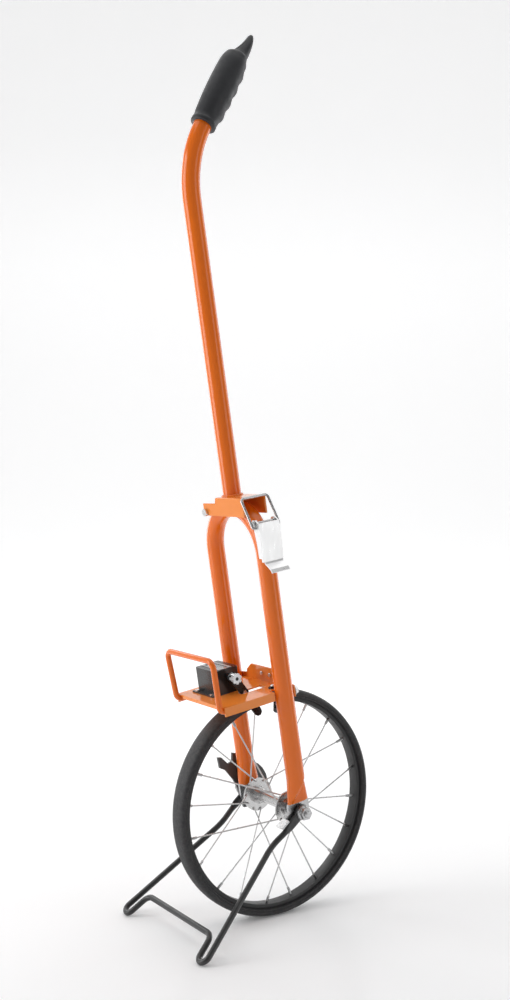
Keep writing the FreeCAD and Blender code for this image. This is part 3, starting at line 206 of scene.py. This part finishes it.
# Nodes whose finish differs from their slot's, and the bevels of the folded and moulded ones.
SPECIAL = {"latch_lever": SHEET, "latch_base": SHEET, "hub_shell": HUB, "spokes_near": SPOKE,
           "spokes_far": SPOKE, "counter_screws": BOLT, "lever_rivet": BOLT,
           "bracket_bolts": BOLT, "hinge_bolt": BOLT, "stand_pedal": PEDAL}
CREASED = {"hinge_channel": 0.6, "platform_tray": 0.6, "rear_bracket": 0.5, "latch_lever": 0.5,
           "counter_housing": 0.5, "counter_base": 0.4, "stand_pedal": 0.8, "dropout_near": 0.5,
           "dropout_far": 0.5, "counter_lever": 0.4, "trip_finger": 0.4, "latch_base": 0.3}


FRAME_CREASE = 30       # degrees
BUILT_CREASE = 40


def dress_frame():
    """Give each CAD node its finish and smooth its curved faces."""
    slots = {part["node"]: part["material_slot"] for part in frame["record"]["subparts"]}
    for name, thing in frame["nodes"].items():
        thing.data.materials.clear()
        thing.data.materials.append(SPECIAL.get(name, FINISHES[slots[name]]))
        soften(thing, FRAME_CREASE)
        if name in CREASED:
            bevelled(thing, CREASED[name])
        even = thing.modifiers.new("even", "WEIGHTED_NORMAL")
        even.keep_sharp = True


def soften(thing, angle):
    """Smooth shading, with edges sharper than an angle kept crisp."""
    for face in thing.data.polygons:
        face.use_smooth = True
    thing.data.set_sharp_from_angle(angle=math.radians(angle))


# ---------------------------------------------------------------- shapes

def built(name, points, faces, material, body, place, replaces=(), sharp=BUILT_CREASE):
    """A mesh from points in millimetres, riding on a body."""
    mesh = bpy.data.meshes.new(name)
    mesh.from_pydata([tuple(place @ (Vector(p) * MM)) for p in points], [], faces)
    mesh.update()
    mesh.validate()
    thing = bpy.data.objects.new(name, mesh)
    bpy.context.scene.collection.objects.link(thing)
    mesh.materials.append(material)
    soften(thing, sharp)
    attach(thing, body)
    if replaces:
        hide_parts(*replaces)
    return thing


def ring_faces(rings, count, closed=False, capped=True):
    """Faces that join rings of points, each ring with the same count."""
    faces = []
    last = rings if closed else rings - 1
    for r in range(last):
        a = r * count
        b = ((r + 1) % rings) * count
        for i in range(count):
            j = (i + 1) % count
            faces.append((a + i, a + j, b + j, b + i))
    if capped and not closed:
        faces.append(tuple(reversed(range(count))))
        faces.append(tuple((rings - 1) * count + i for i in range(count)))
    return faces


def bent(points, bends, steps=10):
    """A path of straight runs with an arc of a given radius at each inner point."""
    points = [Vector(p) for p in points]
    path = [points[0]]
    for before, corner, after, bend in zip(points, points[1:], points[2:], bends):
        back = (before - corner).normalized()
        ahead = (after - corner).normalized()
        half = back.angle(ahead) / 2
        centre = corner + (back + ahead).normalized() * (bend / math.sin(half))
        reach = bend / math.tan(half)
        first = corner + back * reach - centre
        final = corner + ahead * reach - centre
        sweep = first.angle(final)
        for i in range(steps + 1):
            part = i / steps
            path.append(centre + (first * math.sin((1 - part) * sweep)
                                  + final * math.sin(part * sweep)) / math.sin(sweep))
    path.append(points[-1])
    return path


def swept(name, path, radius, material, body, place, across, count, replaces=(),
          closed=False):
    """A rod along a path; radius is one number or an (across, other) pair for each point."""
    path = [Vector(p) for p in path]
    side = Vector(across).normalized()
    rings = []
    total = len(path)
    for i, spot in enumerate(path):
        before = path[i - 1] if i or closed else spot
        after = path[(i + 1) % total] if i + 1 < total or closed else spot
        way = (after - before).normalized()
        side = (side - way * side.dot(way)).normalized()
        other = way.cross(side)
        sizes = radius[i] if isinstance(radius, list) else (radius, radius)
        for k in range(count):
            turn = TURN * k / count
            rings.append(spot + side * (sizes[0] * math.cos(turn))
                         + other * (sizes[1] * math.sin(turn)))
    built(name, rings, ring_faces(total, count, closed), material, body, place, replaces)


def turned(name, profile, material, body, count, replaces, loop=True,
           sharp=BUILT_CREASE):
    """A ring or a disc turned about the Y axis from (y, radius) points."""
    points = []
    for y, radius in profile:
        for k in range(count):
            turn = TURN * k / count
            points.append((radius * math.sin(turn), y, radius * math.cos(turn)))
    built(name, points, ring_faces(len(profile), count, closed=loop, capped=not loop), material,
          body, WHEEL, replaces, sharp)


def circle(radius, count, u=0.0, v=0.0):
    """Points round a circle."""
    return [(u + radius * math.cos(TURN * i / count), v + radius * math.sin(TURN * i / count))
            for i in range(count)]


def prism(name, outline, low, high, material, body, place, axis, bevel, segments=2):
    """An outline pulled along an axis, its edges bevelled."""
    def spot(u, v, w):
        return {"Y": (u, w, v), "Z": (u, v, w), "X": (w, u, v)}[axis]
    count = len(outline)
    points = [spot(u, v, low) for u, v in outline] + [spot(u, v, high) for u, v in outline]
    faces = [tuple(range(count)), tuple(reversed(range(count, 2 * count)))]
    for i in range(count):
        j = (i + 1) % count
        faces.append((i, i + count, j + count, j))
    bevelled(built(name, points, faces, material, body, place), bevel, segments)


def bevelled(thing, width, segments=2):
    """Round a piece's sharp edges."""
    step = thing.modifiers.new("edge", "BEVEL")
    step.width = width * MM
    step.segments = segments
    step.limit_method = "ANGLE"
    step.angle_limit = math.radians(35)
    step.harden_normals = False


# ---------------------------------------------------------------- tubes and rods

LEG_FOOT = 14.0         # height of the legs' open ends above the axle
LEG_ROUND = 46.0        # height from which the legs are round
LEG_Y = 62.8            # from the middle to a round leg's centre line
FOOT_Y = 61.0
FOOT_WIDE = 16.5        # half sizes of the pressed end: along the wheel, outside and inside
FOOT_OUT = 5.0
FOOT_IN = 8.6
CREASE_HEIGHT = 29.0    # where the crease starts, its rise per millimetre across, its length
CREASE_RISE = 1.2
CREASE_LENGTH = 9.0
ARCH_HEIGHT = 358.6
FORK_COUNT = 56


def clamped(value):
    """A number kept between nought and one."""
    return min(max(value, 0.0), 1.0)


def leg_ring(height, side, wall):
    """Points round a leg; its end is pressed flat outside along a slanting crease."""
    part = clamped((height - LEG_FOOT) / (LEG_ROUND - LEG_FOOT))
    wide = FOOT_WIDE + (TUBE - FOOT_WIDE) * part - wall
    middle = FOOT_Y + (LEG_Y - FOOT_Y) * part
    points = []
    for k in range(FORK_COUNT):
        turn = TURN * k / FORK_COUNT
        b = wide * math.cos(turn)
        if math.sin(turn) * side > 0:
            level = clamped((height - CREASE_RISE * b - CREASE_HEIGHT) / CREASE_LENGTH)
            deep = FOOT_OUT + (TUBE - FOOT_OUT) * level
        else:
            deep = FOOT_IN + (TUBE - FOOT_IN) * part
        points.append(Vector((b, middle * side + (deep - wall) * math.sin(turn), height)))
    return points


def fork_tube():
    """The fork's one tube: round through the arch, its open ends pressed at the dropouts."""
    outside = [LEG_FOOT + 1.25 * i for i in range(40)] + [70.0, 150.0, 260.0]
    inside = [14.4, 20.0, 26.0]
    rings = [leg_ring(height, -1, WALL) for height in reversed(inside)]
    rings += [leg_ring(height, -1, 0.0) for height in outside]
    steps = 48
    for i in range(steps + 1):
        turn = math.pi * i / steps
        ring = []
        for k in range(FORK_COUNT):
            spin = TURN * k / FORK_COUNT
            reach = LEG_Y - TUBE * math.sin(spin)
            ring.append(Vector((TUBE * math.cos(spin), -reach * math.cos(turn),
                                ARCH_HEIGHT + reach * math.sin(turn))))
        rings.append(ring)
    far = [leg_ring(height, 1, 0.0) for height in reversed(outside)]
    far += [leg_ring(height, 1, WALL) for height in inside]
    rings += [[ring[-k % FORK_COUNT] for k in range(FORK_COUNT)] for ring in far]
    points = [point for ring in rings for point in ring]
    built("fork_tube_smooth", points, ring_faces(len(rings), FORK_COUNT), PAINT, "fork",
          FORK, ["fork_tube"])


HANDLE_FOOT = 437.0
HANDLE_STRAIGHT = 838.0     # height at which the handle starts to bend
HANDLE_ANGLE = math.radians(36.7)
HANDLE_BEND = 165.0
IN_GRIP = 97.0              # length of tube inside the grip
BEAD = 1.7                  # radius of the weld bead


def handle_path():
    """The handle's centre line up to the grip, where it ends and which way it points there."""
    path = [Vector((HANDLE_B, HANDLE_Y, a))
            for a in (HANDLE_FOOT, 440, 480, 600, 720, HANDLE_STRAIGHT)]
    steps = 24
    for i in range(1, steps + 1):
        part = HANDLE_ANGLE * i / steps
        path.append(Vector((HANDLE_B + HANDLE_BEND * (1 - math.cos(part)), HANDLE_Y,
                            HANDLE_STRAIGHT + HANDLE_BEND * math.sin(part))))
    way = Vector((math.sin(HANDLE_ANGLE), 0, math.cos(HANDLE_ANGLE)))
    return path, path[-1].copy(), way


def handle_tube():
    """The handle's tube and the weld round its foot."""
    path, end, way = handle_path()
    path.append(end + way * IN_GRIP)
    swept("handle_tube_smooth", path, TUBE, PAINT, "handle", FORK, (1, 0, 0), 48,
          ["handle_tube"])
    bead = []
    for i in range(96):
        turn = TURN * i / 96
        reach = TUBE + 0.8 + 0.18 * math.sin(turn * 23)
        bead.append((HANDLE_B + reach * math.cos(turn), HANDLE_Y + reach * math.sin(turn),
                     HANDLE_FOOT + 0.4))
    swept("handle_weld", bead, BEAD, PAINT, "handle", FORK, (0, 0, 1), 12,
          closed=True)


FOOT_BEND = 8.5         # radius of the rod's centre line round each foot
CROSS_REACH = 202.0     # from the axle to the rod's cross piece
EYE_Y = 68.0
EYE_RADIUS = 10.6
EYE_HALF = 1.7


def stand_rod():
    """The stand's bent rod, forged flat towards the two eyes that turn on the axle."""
    foot = Vector((STAND_REACH - FOOT_BEND, 100.0, 0))
    knee = Vector((62.0, 63.5, 0))
    lean = math.atan2(foot.y + FOOT_BEND - knee.y, foot.x - knee.x) * 0.985
    square = Vector((-math.sin(lean), math.cos(lean), 0)) * FOOT_BEND
    ahead = Vector((math.cos(lean), math.sin(lean), 0))
    inner = foot - square
    corner = inner - ahead * ((inner.x - CROSS_REACH) / ahead.x)
    # The flattened part: distance from the axle, place across, and half sizes of the rod.
    flat = [(9.0, EYE_Y, 6.6, 1.9), (22.0, EYE_Y, 6.5, 1.9), (27.0, EYE_Y, 6.2, 2.1),
            (31.0, 67.7, 5.4, 2.8), (34.5, 67.4, 4.5, 3.6)]
    half = bent([(38.0, 67.0, 0), knee, foot + square], [60.0])
    for i in range(1, 17):
        turn = math.pi * i / 16
        half.append(foot + square * math.cos(turn) + ahead * (FOOT_BEND * math.sin(turn)))
    other = Vector((corner.x, 0, 0))
    half += bent([inner, corner, other], [14.0])[1:]
    half = [Vector((x, y, 0)) for x, y, wide, thick in flat] + half
    sizes = [(wide, thick) for x, y, wide, thick in flat]
    sizes += [(ROD, ROD)] * (len(half) - len(flat))
    mirror = [Vector((p.x, -p.y, 0)) for p in reversed(half[:-1])]
    swept("stand_rod_smooth", half + mirror, sizes + sizes[-2::-1], BLACK_ROD, "stand",
          STAND, (0, 0, 1), 28, ["stand_rod"])
    for side, name in ((-1, "near"), (1, "far")):
        middle = EYE_Y * side
        prism("stand_eye_" + name, circle(EYE_RADIUS, 32), middle - EYE_HALF, middle + EYE_HALF,
              BLACK_ROD, "stand", STAND, "Y", 0.6)


def guard_rod():
    """The guard's bent rod in front of the counter."""
    front = -99.3
    side = 56.5
    low = 166.0
    high = 236.0
    path = bent([(front + 26, -side, low), (front, -side, low), (front - 3, -side - 4, high),
                 (front - 3, side + 4, high), (front, side, low), (front + 26, side, low)],
                [8.0, 11.0, 11.0, 8.0])
    swept("guard_rod_smooth", path, ROD, PAINT, "fork", FORK, (0, 0, 1), 24,
          ["guard_rod"])


BAIL_WIRE = 1.75        # radius


def latch_bail():
    """The latch's wire loop."""
    half = 21.5
    end = 15.2
    pivot = (-74.5, 397.5)
    top = (-53.6, 437.0)
    path = bent([(-end, *pivot), (-half, *pivot), (-half, *top), (half, *top), (half, *pivot),
                 (end, *pivot)], [2.5, 5.0, 5.0, 2.5])
    swept("latch_bail_smooth", path, BAIL_WIRE, ZINC, "bail", FORK, (0, 0, 1), 20,
          ["latch_bail"])


# ---------------------------------------------------------------- grip

FINGER = 22.0           # length of one wave of the grip


def grip():
    """The moulded grip: barrel, finger ridge with waves, and a spur with a glossy recess.

    A section is its distance along the grip, its shift across, its two half sizes and the height
    of the finger ridge."""
    path, end, way = handle_path()
    across = Vector((way.z, 0, -way.x))
    sections = [(0.0, 0, 17.2, 17.2, 0), (0.8, 0, 17.9, 17.9, 0), (5.2, 0, 17.9, 17.9, 0),
                (6.0, 0, 17.5, 17.5, 0), (7.0, 0, 17.0, 17.0, 0.2), (12, 0, 17.2, 17.2, 0.9)]
    taper = 98.0
    for i in range(41):
        s = 15 + 97 * i / 40
        radius = 17.2 + 2.6 * math.sin(math.pi * min(max((s - 8) / 112, 0), 1)) ** 0.8
        if s > taper:
            radius -= (s - taper) ** 2 * 0.009
        ridge = 2.2 + 1.1 * math.cos(TURN * (s - 24) / FINGER)
        fade = min(1, (s - 10) / 10, (116 - s) / 10)
        sections.append((s, 0, radius, radius * 0.96, max(ridge * fade, 0)))
    sections += [(115.0, 0.6, 15.6, 15.2, 0), (117.4, 1.6, 14.0, 13.8, 0),
                 (118.8, 3.0, 12.6, 12.4, 0), (120.5, 3.8, 11.8, 11.4, 0),
                 (126, 5.2, 10.6, 10.2, 0), (134, 6.6, 8.8, 9.0, 0), (142, 7.4, 7.0, 7.6, 0),
                 (149, 7.6, 5.4, 6.0, 0), (153.5, 7.3, 4.0, 4.5, 0), (156.2, 7.1, 2.4, 2.8, 0),
                 (157.2, 7.0, 0.9, 1.0, 0)]
    count = 72
    points = []
    for s, shift, wide, deep, ridge in sections:
        for k in range(count):
            turn = TURN * k / count
            swell = ridge * max(0.0, math.cos(turn)) ** 3
            points.append(end + way * s + across * (shift + (wide + swell) * math.cos(turn))
                          + Vector((0, deep + swell * 0.4, 0)) * math.sin(turn))
    built("grip_moulding", points, ring_faces(len(sections), count), GRIP, "handle",
          FORK, ["grip"], sharp=50)
    places = [(120.5, -7.2, 3.6), (126, -4.6, 4.8), (134, -1.4, 4.6), (142, 1.1, 3.8),
              (149, 2.9, 2.8), (153, 3.9, 1.6)]
    count = 24
    recess = []
    for s, shift, wide in places:
        for u, v in circle(1.0, count):
            recess.append(end + way * s + across * (shift + 1.2 * u) + Vector((0, wide * v, 0)))
    built("grip_recess", recess, ring_faces(len(places), count), GLOSS, "handle",
          FORK)


# ---------------------------------------------------------------- wheel

WHEEL_COUNT = 180


def wheel():
    """Tyre with a rounded tread and sidewall groove, and a smooth rim, from (y, radius) points."""
    tread = AXLE_HEIGHT
    half = [(0.0, tread), (5.0, tread - 0.12), (9.5, tread - 0.7), (12.4, tread - 1.9),
            (13.9, tread - 3.6), (14.5, tread - 5.6), (14.6, 152.4), (14.0, 151.6),
            (13.6, 151.4), (13.5, 151.0), (13.9, 150.5), (13.6, 149.6), (12.2, 149.1),
            (9.4, 149.02), (9.3, 148.2), (7.6, 147.8), (7.6, 145.4)]
    profile = [(-y, level) for y, level in reversed(half[1:])] + half
    turned("tyre_smooth", profile, TYRE, "wheel", WHEEL_COUNT, ["tyre"], sharp=35)
    side = [(6.6, 142.1), (8.6, 142.5), (9.15, 143.6), (9.15, 148.6), (8.9, 149.0),
            (7.8, 149.0), (7.65, 145.0), (6.3, 143.7)]
    profile = side + [(-y, level) for y, level in reversed(side)]
    turned("rim_smooth", profile, RIM, "wheel", WHEEL_COUNT, ["rim"], sharp=35)


AXLE_RADIUS = 4.74      # then the radii of the threaded tips
TIP_NECK = 4.2
CREST = 4.22
ROOT = 3.75
TIP_END = 3.6
CENTRE = 0.01           # radius of the last ring at a turned piece's end


def axle_ends():
    """The axle with its threaded tips, and the serrated flanges of its nuts."""
    profile = [(-83.0, CENTRE), (-83.0, TIP_END)]
    for index in range(4):
        y = -82.4 + index
        profile += [(y, CREST), (y + 0.5, ROOT)]
    profile += [(-78.2, TIP_NECK), (-78.0, AXLE_RADIUS), (88.0, AXLE_RADIUS), (88.2, TIP_NECK)]
    for index in range(3):
        y = 88.6 + index
        profile += [(y, ROOT), (y + 0.5, CREST)]
    profile += [(92.0, TIP_END), (92.0, CENTRE)]
    turned("axle_threaded", profile, ZINC, "fork", 40, ["axle"], loop=False)
    # A flange's rings: depth from the nut's face, radius, and whether the ring has teeth.
    rings = [(0.0, 6.0, 0), (0.0, 9.75, 1), (1.1, 9.75, 1), (1.9, 8.9, 0), (2.6, 7.6, 0),
             (2.6, 6.0, 0)]
    count = 96
    for name, face, out in (("near", -71.5, -1), ("far", 81.8, 1)):
        points = []
        for depth, radius, toothed in rings:
            for k in range(count):
                turn = TURN * k / count
                reach = radius - 0.28 * (k % 4 < 2) * toothed
                points.append((reach * math.sin(turn), face + out * depth,
                               reach * math.cos(turn)))
        built("nut_flange_" + name, points, ring_faces(len(rings), count, closed=True), ZINC,
              "fork", WHEEL)


# ---------------------------------------------------------------- counter

DRUM_SHAFT = Vector((-50.5, 0, 195.3))
DRUM_SPACING = 8.0
FIRST_DRUM = 5.0
DRUM_RADIUS = 8.05
DIGITS = 10
WINDOW_TOP = 206.0


def window_border():
    """A thin border on the counter's top, round its window."""
    border = [((-60.8, -2.6), (-57.5, 44.6)), ((-43.5, -2.6), (-40.2, 44.6)),
              ((-57.5, -2.6), (-43.5, 0.5)), ((-57.5, 41.5), (-43.5, 44.6))]
    for index, (low, high) in enumerate(border):
        outline = [low, (high[0], low[1]), high, (low[0], high[1])]
        prism("window_frame_%d" % index, outline, WINDOW_TOP, WINDOW_TOP + 0.5, LABEL, "fork",
              FORK, "Z", 0.1)


TRAY_TOP = 172.0
WASHER = 1.2            # thickness
BRACKET_FACE = 10.6


def screw_head(name, spot, face, radius, height, axis, sides=28):
    """A domed head that stands on a face."""
    prism(name, circle(radius, sides, *spot), face, face + height, BOLT, "fork",
          FORK, axis, height * 0.45, segments=3)


def platform_details():
    """The bracket's two screws, and the bolt and washer at the platform's near rear corner."""
    screw_head("bracket_screw_near", (-14.0, 182.0), BRACKET_FACE, 3.2, 2.1, "X")
    screw_head("bracket_screw_far", (6.0, 182.0), BRACKET_FACE, 3.2, 2.1, "X")
    corner = (-2.0, -41.0)
    screw_head("platform_bolt", corner, TRAY_TOP + WASHER, 4.4, 3.6, "Z", sides=6)
    prism("platform_washer", circle(7.0, 32, *corner), TRAY_TOP, TRAY_TOP + WASHER, DARK, "fork",
          FORK, "Z", 0.2)


def digits():
    """Raised digits round each drum; all of them show nought at rest."""
    names = ("units", "tens", "hundreds", "thousands", "ten_thousands")
    glyphs = []
    for digit in range(DIGITS):
        data = bpy.data.curves.new("digit", "FONT")
        data.body = str(digit)
        data.size = 5.0
        data.extrude = 0.2
        data.align_x = "CENTER"
        data.align_y = "CENTER"
        data.resolution_u = 3
        text = bpy.data.objects.new("digit", data)
        bpy.context.scene.collection.objects.link(text)
        bpy.context.view_layer.update()
        mesh = bpy.data.meshes.new_from_object(text)
        glyphs.append(([v.co.copy() for v in mesh.vertices],
                       [tuple(face.vertices) for face in mesh.polygons]))
        bpy.data.objects.remove(text)
        bpy.data.meshes.remove(mesh)
    for index, name in enumerate(names):
        middle = DRUM_SHAFT + Vector((0, DRUM_SPACING * index + FIRST_DRUM, 0))
        points = []
        faces = []
        for digit, (spots, sides) in enumerate(glyphs):
            turn = Matrix.Rotation(-TURN * digit / DIGITS, 4, "Y")
            first = len(points)
            for spot in spots:
                points.append(middle + turn @ Vector((spot.y, -spot.x, DRUM_RADIUS + spot.z)))
            faces += [tuple(first + corner for corner in side) for side in sides]
        built("digits_" + name, points, faces, INK, "drum_%s_body" % name, FORK)


# ---------------------------------------------------------------- stage, light and camera

# Metres and watts from here on.
FLOOR_NEAR = -14.0
FLOOR_SIDE = 14.0
SWEEP_START = 2.2       # where the floor starts to curve up
SWEEP = 1.6             # radius of the curve
WALL_TOP = 6.0
AIM = Vector((0, 0, 0.6))


def stage():
    """A pale floor that sweeps up behind the object; gives the view's directions on the floor."""
    points = []
    faces = []
    rows = [(FLOOR_NEAR, 0.0), (SWEEP_START, 0.0)]
    for i in range(1, 17):
        turn = math.pi / 2 * i / 16
        rows.append((SWEEP_START + SWEEP * math.sin(turn), SWEEP * (1 - math.cos(turn))))
    rows.append((SWEEP_START + SWEEP, WALL_TOP))
    ahead = Vector((0.5533, 0.8329, 0)).normalized()
    right = Vector((ahead.y, -ahead.x, 0))
    for reach, height in rows:
        for side in (-FLOOR_SIDE, FLOOR_SIDE):
            points.append(ahead * reach + right * side + Vector((0, 0, height)))
    for i in range(len(rows) - 1):
        faces.append((2 * i, 2 * i + 1, 2 * i + 3, 2 * i + 2))
    mesh = bpy.data.meshes.new("floor")
    mesh.from_pydata([tuple(p) for p in points], [], faces)
    floor = bpy.data.objects.new("floor", mesh)
    bpy.context.scene.collection.objects.link(floor)
    for face in mesh.polygons:
        face.use_smooth = True
    pale = finish_of("pale_floor", (0.88, 0.88, 0.885), 0.30, patch=(0.87, 0.87, 0.875),
                     patch_scale=2, spread=0.02, specular=0.25)
    tree = pale.node_tree
    shader = tree.nodes["Principled BSDF"]
    shader.inputs["Emission Color"].default_value = (1, 1, 1, 1)
    # The glow grows towards the back and the top, so that the far wall looks as pale as the floor.
    along = tree.nodes.new("ShaderNodeVectorMath")
    along.operation = "DOT_PRODUCT"
    along.inputs[1].default_value = (ahead.x, ahead.y, 0.7)
    link(tree, tree.nodes.new("ShaderNodeTexCoord").outputs["Object"], along.inputs[0])
    link(tree, ramp(tree, along.outputs["Value"], 0.0, 2.6, 0.07, 0.47),
         shader.inputs["Emission Strength"])
    mesh.materials.append(pale)
    return ahead, right


def area_light(name, spot, width, height, power):
    """A soft box that points at the object, placed from the point it aims at."""
    data = bpy.data.lights.new(name, "AREA")
    data.shape = "RECTANGLE"
    data.size = width
    data.size_y = height
    data.energy = power
    lamp = bpy.data.objects.new(name, data)
    lamp.location = AIM + spot
    lamp.rotation_euler = (-spot).to_track_quat("-Z", "Y").to_euler()
    bpy.context.scene.collection.objects.link(lamp)


def lights(ahead, right):
    """Soft boxes on both sides, one above, and a pale surround."""
    up = Vector((0, 0, 1))
    area_light("left_back", ahead * 1.5 - right * 1.35, 0.4, 2.4, 10)
    area_light("left_side", up * 0.3 - right * 1.9 - ahead * 0.35, 1.1, 2.2, 26)
    area_light("right_back", right * 1.5 + ahead * 1.2, 0.45, 2.4, 7)
    area_light("right_front", right * 1.75 - ahead * 1.0, 0.9, 2.2, 7)
    area_light("top_box", up * 2.1 + ahead * 0.3, 3.2, 3.2, 35)
    world = bpy.data.worlds.new("surround")
    bpy.context.scene.world = world
    world.use_nodes = True
    back = world.node_tree.nodes["Background"]
    back.inputs["Color"].default_value = (1, 1, 1, 1)
    back.inputs["Strength"].default_value = 0.27


def camera():
    """The camera, level with the middle of the object and a little to its near side."""
    data = bpy.data.cameras.new("camera")
    data.lens = 42.17
    data.sensor_width = 36
    eye = bpy.data.objects.new("camera", data)
    ahead = Vector((0.55325, 0.83289, -0.01447))
    right = Vector((0.83301, -0.55312, 0.01235))
    up = Vector((-0.00228, 0.01889, 0.99982))
    turn = Matrix((right, up, -ahead)).transposed().to_4x4()
    spot = Vector((-0.93894 + AXLE_FORWARD * MM, -1.35577, 0.60746))
    eye.matrix_world = Matrix.Translation(spot) @ turn
    bpy.context.scene.collection.objects.link(eye)
    bpy.context.scene.camera = eye


dress_frame()
fork_tube()
handle_tube()
stand_rod()
guard_rod()
latch_bail()
grip()
wheel()
axle_ends()
window_border()
platform_details()
digits()
floor_ahead, floor_right = stage()
lights(floor_ahead, floor_right)
camera()
bpy.context.scene.view_settings.view_transform = "Standard"
save_bounds()
